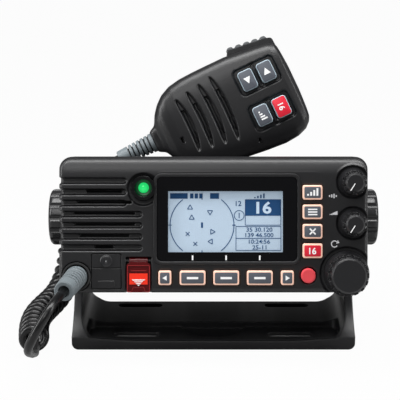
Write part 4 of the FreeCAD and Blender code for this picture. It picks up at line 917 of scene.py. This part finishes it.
CORNER, RIM_RADIUS = 7.0, 3.0
TOP_BAND, TOP_DROP = 11.5, 4.0
GRILLE_TOP, GRILLE_PITCH = 25.7, 6.5
BACK = -36.0
SPEAKER_X, SPEAKER_Z, SPEAKER_RADIUS = -63.6, 4.7, 18.4
LAMP_X, LAMP_Z = -40.7, 21.6
DIAL_X, DIAL_Z = 77.5, -28.3
FLAP_X, SCREW_X = -43.6, -62.4
KEY_WELL, WALL = 3.4, 0.3
BOX_WELLS = [((WINDOW_X, WINDOW_Z), (40.9, 25.2), 4.0, 1.5), ((WINDOW_X, 1.7), (36.6, 21.6), 1.0, 5.9),
             ((SCREW_X, -27.0), (8.75, 10.25), 0.6, 2.4), ((FLAP_X, -33.6), (7.6, 15.0), 0.6, 4.7)]
BOX_WELLS += [((x, z), (6.1, 4.55), 1.5, KEY_WELL) for name, x, z in SIDE_KEYS]
BOX_WELLS += [((x, ROW_Z), (width / 2 + 0.35, 4.5), 1.5, KEY_WELL) for name, x, width in ROW_KEYS]
ROUND_WELLS = [((LAMP_X, LAMP_Z - 0.9), 9.6, 1.5, 0.8), ((LAMP_X, LAMP_Z), 7.2, 5.0, WALL),
               ((POWER_X, POWER_Z), 5.4, 0.3, 0.4), ((POWER_X, POWER_Z), 4.65, KEY_WELL, WALL),
               ((-79.7, -30.1), 8.5, 4.0, 0.4)]


def channel_depth(x, z):
    """The grille: seven capsules from beyond the left side, each deepest on its
    middle line, and the black slits in them that together fill a circle."""
    depth = np.zeros_like(x)
    for index in range(7):
        at = GRILLE_TOP - index * GRILLE_PITCH
        right = -52.4 if index < 3 else -43.4
        gap = np.hypot(np.maximum(x - right, 0), z - at) - 2.0
        depth = np.maximum(depth, sunk(gap, 3.0, 0.8))
        ridge = np.hypot(np.maximum(x - right, 0), z - at + 0.5 * GRILLE_PITCH)
        depth = depth - 0.7 * np.exp(-(ridge / 1.0) ** 2)
        slit_z = at + 0.55
        half = np.sqrt(max(SPEAKER_RADIUS ** 2 - (slit_z - SPEAKER_Z) ** 2, 0.0))
        if half > 4:
            slit = np.hypot(np.maximum(np.abs(x - SPEAKER_X) - half + 0.9, 0), z - slit_z) - 0.9
            depth = np.maximum(depth, sunk(slit, 5.6, 0.35))
    return depth


def face_depth(x, z):
    """The depth of the housing's face behind its front plane. A well outside its
    outline is 0, so the deepest of all is never in front of that plane."""
    edge = -box_distance(x, z, (0, 0), (HALF_WIDTH, HALF_HEIGHT), CORNER)
    short = np.clip(RIM_RADIUS - edge, 0, RIM_RADIUS)
    depth = RIM_RADIUS - np.sqrt(np.maximum(RIM_RADIUS ** 2 - short ** 2, 0))
    depth = depth + TOP_DROP * np.clip((z - HALF_HEIGHT + TOP_BAND) / TOP_BAND, 0, 1) ** 2.6
    zone = box_distance(x, z, (14.9, -3.1), (50.0, 33.9), 6.0)
    depth = depth - 0.8 * (1 - smooth(zone, -0.3, 0.3)) - 0.5 * np.exp(-((zone + 0.9) / 0.6) ** 2)
    depth = depth + channel_depth(x, z)
    for at, radius in (((KNOB_X, SQUELCH_Z), 9.6), ((KNOB_X, VOLUME_Z), 9.6), ((DIAL_X, DIAL_Z), 15.5)):
        gap = disc_distance(x, z, at, radius)
        depth = depth - 0.5 * smooth(gap, -1.2, -0.2) * (1 - smooth(gap, 0.3, 1.5))
        depth = np.maximum(depth, sunk(gap, 1.6))
    for at, half, corner, deep in BOX_WELLS:
        depth = np.maximum(depth, sunk(box_distance(x, z, at, half, corner), deep, WALL))
    for at, radius, deep, soft in ROUND_WELLS:
        depth = np.maximum(depth, sunk(disc_distance(x, z, at, radius), deep, soft))
    return depth


columns = eased_lines(HALF_WIDTH, 3.0, 8, 372)
rows = eased_lines(HALF_HEIGHT, 3.0, 8, 168)
grid_x, grid_z = np.meshgrid(columns, rows)
past = np.stack([np.abs(grid_x) - HALF_WIDTH + CORNER, np.abs(grid_z) - HALF_HEIGHT + CORNER])
length = np.hypot(*np.maximum(past, 0))
pull = np.where((past > 0).all(0) & (length > CORNER), CORNER / np.maximum(length, 1e-9), 1.0)
grid_x = np.sign(grid_x) * np.where(pull < 1, HALF_WIDTH - CORNER + past[0] * pull, np.abs(grid_x))
grid_z = np.sign(grid_z) * np.where(pull < 1, HALF_HEIGHT - CORNER + past[1] * pull, np.abs(grid_z))
face_y = FRONT + face_depth(grid_x, grid_z)
left_channel = channel_depth(np.full_like(grid_z, -HALF_WIDTH), grid_z) * 0.22
grid_x = grid_x + left_channel * (1 - smooth(grid_x + HALF_WIDTH, 0.0, 3.0))
count_z, count_x = grid_x.shape
index = np.arange(count_x * count_z).reshape(count_z, count_x)
rim = np.concatenate([index[0, :-1], index[:-1, -1], index[-1, :0:-1], index[:0:-1, 0]])
face_points = np.stack([grid_x, face_y, grid_z], -1).reshape(-1, 3)
rim_points = face_points[rim]
shell_points = [face_points]
faces = grid_faces(count_z, count_x, closed=False)
GRILLE_END = FRONT + 17.0
side_levels = [0.08, 0.25, 0.5, 0.7, 0.74, 0.8, 1.0]
groove = channel_depth(np.full(len(rim), -HALF_WIDTH), rim_points[:, 2]) * 0.22 * (rim_points[:, 0] < -80)
for level in side_levels:
    ring = rim_points.copy()
    ring[:, 1] = rim_points[:, 1] + (BACK - rim_points[:, 1]) * level
    fade = 1 - smooth(ring[:, 1], GRILLE_END - 1.0, GRILLE_END + 1.0)
    ring[:, 0] = rim_points[:, 0] - groove * (1 - fade)
    shell_points.append(ring)
inner_x, inner_z = 82.3 / HALF_WIDTH, 34.3 / HALF_HEIGHT
for y in (BACK, BACK - 5.5, FRONT + 7.0):
    ring = rim_points * (inner_x, 0, inner_z)
    ring[:, 1] = y
    shell_points.append(ring)
first = len(face_points)
count = len(rim)
before = rim
for number in range(len(shell_points) - 1):
    ring = first + number * count + np.arange(count)
    faces += np.stack([before, np.roll(before, -1), np.roll(ring, -1), ring], -1).tolist()
    before = ring
faces.append(before.tolist())
housing = mesh_object("housing_shell", on_radio(np.concatenate(shell_points)), faces, HOUSING_SKIN, None)
outwards(housing)
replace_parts(housing, "front_housing")
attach(housing, "radio")
print("housing faces:", len(housing.data.polygons))

# %% [markdown]
# The handset is a smooth closed shell. Each section across its length is a
# rounded box, cos and sin raised to a power, and the grooves, the key frames and
# the small holes are pressed into its face as depths.

# %% Handset shell
AROUND = 384
HANDSET_END = 96.3
HANDSET_OUTLINE = np.array([
    (0.0, 6.6, 6.6, 5.4), (0.8, 7.4, 7.4, 6.8), (3.2, 8.6, 8.6, 7.5), (4.5, 9.6, 9.6, 7.9),
    (7.5, 15.2, 15.2, 11.2), (11.5, 20.2, 20.2, 13.8), (16.5, 24.4, 24.4, 15.2), (23.0, 27.4, 27.6, 16.0),
    (31.0, 28.8, 30.2, 16.0), (40.0, 29.2, 32.4, 16.0), (50.0, 29.3, 33.8, 16.0), (62.0, 29.3, 35.2, 16.0),
    (75.0, 27.9, 36.2, 16.0), (84.0, 26.9, 35.4, 16.0), (90.0, 26.0, 33.2, 15.6), (93.5, 24.6, 30.0, 14.4),
    (95.3, 22.0, 26.5, 12.2), (HANDSET_END, 10.0, 12.0, 7.0)])
PAIR_HALF, PAIR_CORNER, PAIR_DEPTH = (14.0, 9.0), 3.4, 2.6
KEY_PAIRS = [((75.6, 9.6), 75.4), ((74.7, -14.2), 74.6)]


def handset_relief(x, z):
    """Depths pressed into the handset's face, in its own frame."""
    depth = np.zeros_like(x)
    for index in range(4):
        centre, half = 23.5 + 8.3 * index, 18.1 + 1.4 * index
        share = np.clip(1 - (z / half) ** 2, 0, 1)
        line = centre + 2.0 * share
        width = 0.25 + 2.3 * share ** 0.7
        across = (x - line) / width
        inside = smooth(1 - np.abs(across), -0.1, 0.55) * (np.abs(z) < half)
        depth = np.maximum(depth, 1.9 * inside * smooth(share, 0.0, 0.25))
        slot = (np.abs(x - line + 0.2) < 0.75) & (np.abs(z + 1.5) < half * 0.62)
        depth = np.where(slot, depth + 2.6, depth)
        ridge = np.exp(-((x - line - width - 0.55) / 0.55) ** 2) * (share > 0) * smooth(share, 0.0, 0.3)
        depth = depth - 0.45 * ridge
    for at, rib_x in KEY_PAIRS:
        gap = box_distance(x, z, at, PAIR_HALF, PAIR_CORNER)
        depth = depth - 0.8 * np.exp(-((gap - 1.5) / 0.55) ** 2)
        depth = np.maximum(depth, PAIR_DEPTH * (1 - smooth(gap, -0.9, 0.1)))
        depth = np.where((np.abs(x - rib_x) < 0.9) & (gap < -1.6), 1.4, depth)
    for at, half in (((17.2, -6.9), (0.8, 1.9)), ((60.4, -27.5), (0.7, 1.5))):
        depth = depth + sunk(box_distance(x, z, at, half, 0.6), 2.6, 0.3)
    return depth


NECK_END, CROWN_START = 9, 88
stations = np.concatenate([np.linspace(0, NECK_END, 26)[:-1], np.linspace(NECK_END, CROWN_START, 158),
                           np.linspace(CROWN_START, HANDSET_END, 32)[1:]])
upper, lower, deep = (np.interp(stations, HANDSET_OUTLINE[:, 0], HANDSET_OUTLINE[:, k]) for k in (1, 2, 3))
for values in (upper, lower, deep):
    values[2:-2] = (values[:-4] + 2 * values[1:-3] + 3 * values[2:-2] + 2 * values[3:-1] + values[4:]) / 9
SQUARENESS = 0.42


def powered(value):
    """A cosine or sine pushed towards a box: its sign times its size to a power."""
    return np.sign(value) * np.abs(value) ** SQUARENESS


fine = np.linspace(0, 2 * math.pi, 200001)
girth = along(np.stack([30 * powered(np.cos(fine)), 16 * powered(np.sin(fine))], -1))
theta = np.interp(np.linspace(0, girth[-1], AROUND, endpoint=False), girth, fine)
wave_z, wave_y = powered(np.cos(theta)), powered(np.sin(theta))
across = np.where(wave_z > 0, upper[:, None], lower[:, None]) * wave_z
depth_y = deep[:, None] * wave_y
crown = 1.6 * (across / 36) ** 2 * (wave_y < 0)
long_x = np.repeat(stations[:, None], AROUND, 1)
on_face = smooth(-wave_y, 0.75, 0.95)
relief = handset_relief(long_x, across) * on_face
shell_grid = np.stack([long_x, depth_y + crown + relief, across], -1)
handset = grid_object("handset_shell", shell_grid, HOUSING_SKIN, "handset", place=on_handset,
                      angle=70)
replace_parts(handset, "handset_front", "handset_rear")
print("handset faces:", len(handset.data.polygons))

# %% [markdown]
# The handset's four keys have a grey rim and a painted face, slate for three of
# them and red for the last.

# %% Handset keys
HANDSET_KEYS = [("handset_key_up", 69.2, 9.5, SLATE), ("handset_key_down", 81.9, 9.5, SLATE),
                ("handset_key_power", 68.3, -14.0, SLATE), ("handset_key_sixteen", 81.0, -14.3, RED)]
HANDSET_KEY_FRONT = HANDSET_FACE - 1.2
for name, x, z, paint in HANDSET_KEYS:
    painted_key(name, x, z, 9.6, 12.8, paint, place=on_handset, front=HANDSET_KEY_FRONT, corner=2.0,
                rim=0.5, skirt=GREY_RIM, back=HANDSET_FACE + 4.0)
SIGN_FRONT = HANDSET_KEY_FRONT - 0.2
for (name, x, z, paint), way in zip(HANDSET_KEYS, (-1, 1)):
    key_mark(name, [arrow(x, z, 0, way, 2.4, 1.8, 2.2)], SIGN_FRONT, on_handset)
x, z = HANDSET_KEYS[2][1:3]
level_bars = [bar(x - 1.8 + 0.5 * (k + 1), z + 2.4 - 1.6 * k, 1.0 * (k + 1), 0.9) for k in range(4)]
key_mark("handset_key_power", level_bars, SIGN_FRONT, on_handset)
SIXTEEN_X, SIXTEEN_Z = HANDSET_KEYS[3][1:3]


def on_handset_turned(points):
    """As on_handset, with the drawing turned a quarter so that it reads along z."""
    middle = np.array([SIXTEEN_X, 0.0, SIXTEEN_Z])
    turned = np.asarray(points, float) - middle
    return on_handset(np.stack([turned[:, 2], turned[:, 1], -turned[:, 0]], -1) + middle)


figures("mark_handset_sixteen", "16", SIXTEEN_X, SIXTEEN_Z, 3.8, SIGN_FRONT, MARK_THICK, WHITE,
        key_body("handset_key_sixteen"), place=on_handset_turned, bold=0.02)
print("keys on the handset:", len(HANDSET_KEYS))

# %% [markdown]
# The talk bar is a dark wedge on the handset's upper side. A soft strip lies on
# it with five ribs, each the upper half of a round bar. All of them are outlines
# drawn flat and made thick.

# %% Talk bar
TALK_OUTLINE = [(63.8, 21.0), (63.8, 28.4), (65.4, 31.0), (66.8, 31.7), (91.0, 28.9), (93.8, 27.9),
                (94.6, 26.6), (94.8, 21.0)]
TALK_HALF, RIB_HALF = 6.8, 5.6
talk_bar = prisms("talk_bar_wedge", [TALK_OUTLINE], -TALK_HALF, 2 * TALK_HALF, HOUSING, "talk_bar",
                  place=on_handset)
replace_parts(talk_bar, "handset_ptt")
ribs = []
arch = np.linspace(0, math.pi, 13)
for middle in np.linspace(67.8, 89.2, 5):
    base = np.interp(middle, [67.2, 91.0], [31.7, 28.9])
    ribs.append([(middle + 2.1 * math.cos(a), base + 1.7 * math.sin(a) ** 0.7) for a in arch])
ribs.append([(65.6, 30.8), (91.6, 28.2), (91.6, 29.3), (65.6, 32.3)])
prisms("talk_bar_ribs", ribs, -RIB_HALF, 2 * RIB_HALF, GRIP, "talk_bar", place=on_handset)
print("outlines of the talk bar's grip:", len(ribs))

# %% [markdown]
# The two boots are tapered rubber turned about the cord's own line. Ring grooves
# with cut slots let them bend, and the last band is smooth and hollow.

# %% Boots


BOOT_AROUND = 72


def ribbed_share(s):
    """How far along its ribbed stretch a share of the boot's length is, 0 to 1."""
    return np.clip((s - 0.06) / 0.68, 0, 1)


def groove_wave(ribbed, grooves):
    """1 in the middle of each groove and 0 on the ribs: the top of a cosine per groove."""
    wave = np.clip(-np.cos(2 * math.pi * ribbed) * 1.6 - 0.5, 0, 1)
    return np.where((ribbed > 0) & (ribbed < grooves), wave, 0)


def boot_object(name, stands_for, body, root, tip, root_radius, end_radius, grooves):
    """A turned boot: the radius falls in a line from root to tip, less a groove
    depth that is a raised cosine on each ring, deeper in two slots round it."""
    length = np.linalg.norm(tip - root)
    axis = (tip - root) / length
    side = np.cross(axis, [0, 0, 1.0])
    side /= np.linalg.norm(side)
    rise = np.cross(side, axis)
    s = np.linspace(0, 1, 120)
    turn = np.linspace(0, 2 * math.pi, BOOT_AROUND, endpoint=False)
    s_grid, turn_grid = np.meshgrid(s, turn, indexing="ij")
    ribbed = ribbed_share(s_grid) * grooves
    wave = groove_wave(ribbed, grooves)
    slot = (np.abs(np.sin(turn_grid)) > 0.62) * (np.floor(ribbed) > grooves / 3)
    radius = root_radius + (end_radius - root_radius) * s_grid - wave * (1.0 + 0.9 * slot)
    radius = np.where(s_grid > 0.985, radius - 0.5, radius)
    distance = np.concatenate([[0.0], s * length, [length - 0.1, length - 2.0]])
    mouth = CORD_DIAMETER / 2 + np.array([0.9, 0.7])
    rings = np.concatenate([np.full((1, BOOT_AROUND), root_radius * 0.5), radius,
                            np.repeat(mouth[:, None], BOOT_AROUND, 1)])
    grid = root + axis * distance[:, None, None] + rings[..., None] * (
        side * np.cos(turn)[:, None] + rise * np.sin(turn)[:, None])
    made = grid_object(name, grid, BOOT, body, place=lambda points: points * MM, angle=50)
    found = np.array([v.co for v in made.data.vertices]) / MM
    share = (found - root) @ axis / length
    # The groove value marks where the boot's finish paints shade.
    shade = made.data.attributes.new("groove", "FLOAT", "POINT")
    shade.data.foreach_set("value", groove_wave(ribbed_share(share) * grooves, grooves))
    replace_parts(made, stands_for)
    print(name, "length %.1f mm" % length)


def boot_ends(points, length):
    """The boot's root and its mouth, one length apart along the cord's first run,
    with the cord's own end 2.5 mm inside the mouth."""
    mouth, inward = np.array(points[0]), np.array(points[0]) - np.array(points[1])
    inward /= np.linalg.norm(inward)
    return mouth + inward * (length - 2.5), mouth - inward * 2.5


root, tip = boot_ends(LEAD, 28.5)
boot_object("radio_boot_ribs", "radio_boot", key_body("radio_boot"), root, tip, 6.6, 5.7, 6)
root, tip = boot_ends(TAIL[::-1], 24.5)
boot_object("handset_boot_ribs", "handset_boot", key_body("handset_boot"), root, tip, 6.2, 4.6, 6)

# %% [markdown]
# The status lamp is a bright dome in a dim ring, deep in its black bezel. The
# distress cover is a glossy dark red plate with lit edges, a red glow and a white
# arrow, and the service cover is held by one round screw.

# %% Lamp and covers
RING_PROFILE = [(4.9, FRONT + 4.0), (4.9, FRONT + 1.6), (4.4, FRONT + 1.2), (3.2, FRONT + 1.5)]
glow_ring = grid_object("lamp_ring", disc_grid(LAMP_X, LAMP_Z, RING_PROFILE), GREEN_DIM, "radio")
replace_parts(glow_ring, "status_lens")
DOME_PROFILE = [(3.1 * math.cos(a), FRONT + 1.5 - 2.3 * math.sin(a)) for a in np.linspace(0, 1.45, 12)]
grid_object("lamp_dome", disc_grid(LAMP_X, LAMP_Z, DOME_PROFILE), GREEN, "radio")
FLAP_FRONT = FRONT + 0.2
cover_body = key_body("distress_cover")
EDGE_SECTION = [(0.0, FLAP_FRONT - 0.45), (0.35, FLAP_FRONT - 0.45), (0.5, FLAP_FRONT + 0.2),
                (0.0, FLAP_FRONT + 0.2)]
frame_object("cover_edge", FLAP_X, -31.3, 6.6, 7.9, 1.0, EDGE_SECTION, RED_EDGE, cover_body)
prisms("cover_glow", [bar(FLAP_X, -31.4, 10.6, 6.4)], FLAP_FRONT - 0.15, 0.3, RED_LIT, cover_body)
prisms("cover_lines", [bar(FLAP_X, -26.6, 9.0, 0.45), bar(FLAP_X, -38.35, 7.4, 0.4)]
       + [stroke(FLAP_X + way * 3.0, -36.3, FLAP_X + way * 3.8, -38.3, 0.4) for way in (-1, 1)]
       + [bar(FLAP_X, -36.2, 6.2, 0.4)], FLAP_FRONT - 0.3, 0.3, RED_EDGE, cover_body)
ARROW_TOP = -31.7
ARROW_ROWS = [(3.9, 3.2, 0.0, 0.6), (2.75, 2.1, 1.1, 1.6), (1.7, 1.1, 2.1, 2.6), (0.8, 0.0, 3.0, 3.7)]
arrow_stripes = [[(FLAP_X - a, ARROW_TOP - top), (FLAP_X + a, ARROW_TOP - top),
                  (FLAP_X + b, ARROW_TOP - low), (FLAP_X - b, ARROW_TOP - low)]
                 for a, b, top, low in ARROW_ROWS]
prisms("cover_arrow", arrow_stripes, FLAP_FRONT - 0.45, 0.3, WHITE, cover_body)
SCREW_Z = -21.0
SCREW_PROFILE = [(3.4, FRONT + 0.4), (3.4, FRONT - 0.45), (3.0, FRONT - 0.75), (1.6, FRONT - 0.9),
                 (0.7, FRONT - 0.55)]
DIMPLE_PROFILE = [(0.45, FRONT - 0.4), (0.45, FRONT - 0.62), (0.2, FRONT - 0.66)]
for name, profile, finish in (("screw", SCREW_PROFILE, KNOB), ("dimple", DIMPLE_PROFILE, STEEL)):
    grid_object("service_" + name, disc_grid(SCREW_X, SCREW_Z, profile), finish, "radio")
print("stripes of the cover's arrow:", len(arrow_stripes))

# %% [markdown]
# Small signs stand beside the knobs in place of words, and the squelch and
# volume knobs each have a white pointer line.

# %% Knob signs
x, z = spot(333, 196)
signs = [bar(x - 2 + 1.3 * k, z, 0.7, 1.0 + 0.8 * (k % 3)) for k in range(4)]
x, z = spot(333, 213)
signs.append([(x - 2.4, z - 1.1), (x + 2.6, z - 1.1), (x + 2.6, z + 1.2)])
x, z = spot(334.5, 244)
signs += hoop(x, z, 1.8, 0.6, 30, 330) + [[(x + 1.0, z + 0.2), (x + 2.9, z + 0.6), (x + 1.9, z + 2.2)]]
prisms("knob_signs", signs, FRONT - 0.06, MARK_THICK, PALE, "radio")
KNOB_FRONT = FRONT - 13.1
for name, z in (("squelch", SQUELCH_Z), ("volume", VOLUME_Z)):
    pointer = stroke(KNOB_X - 0.3, z - 0.5, KNOB_X - 2.9, z - 4.6, 0.5)
    prisms(name + "_pointer", [pointer], KNOB_FRONT - 0.08, 0.3, WHITE, name)
print("outlines of the knob signs:", len(signs))
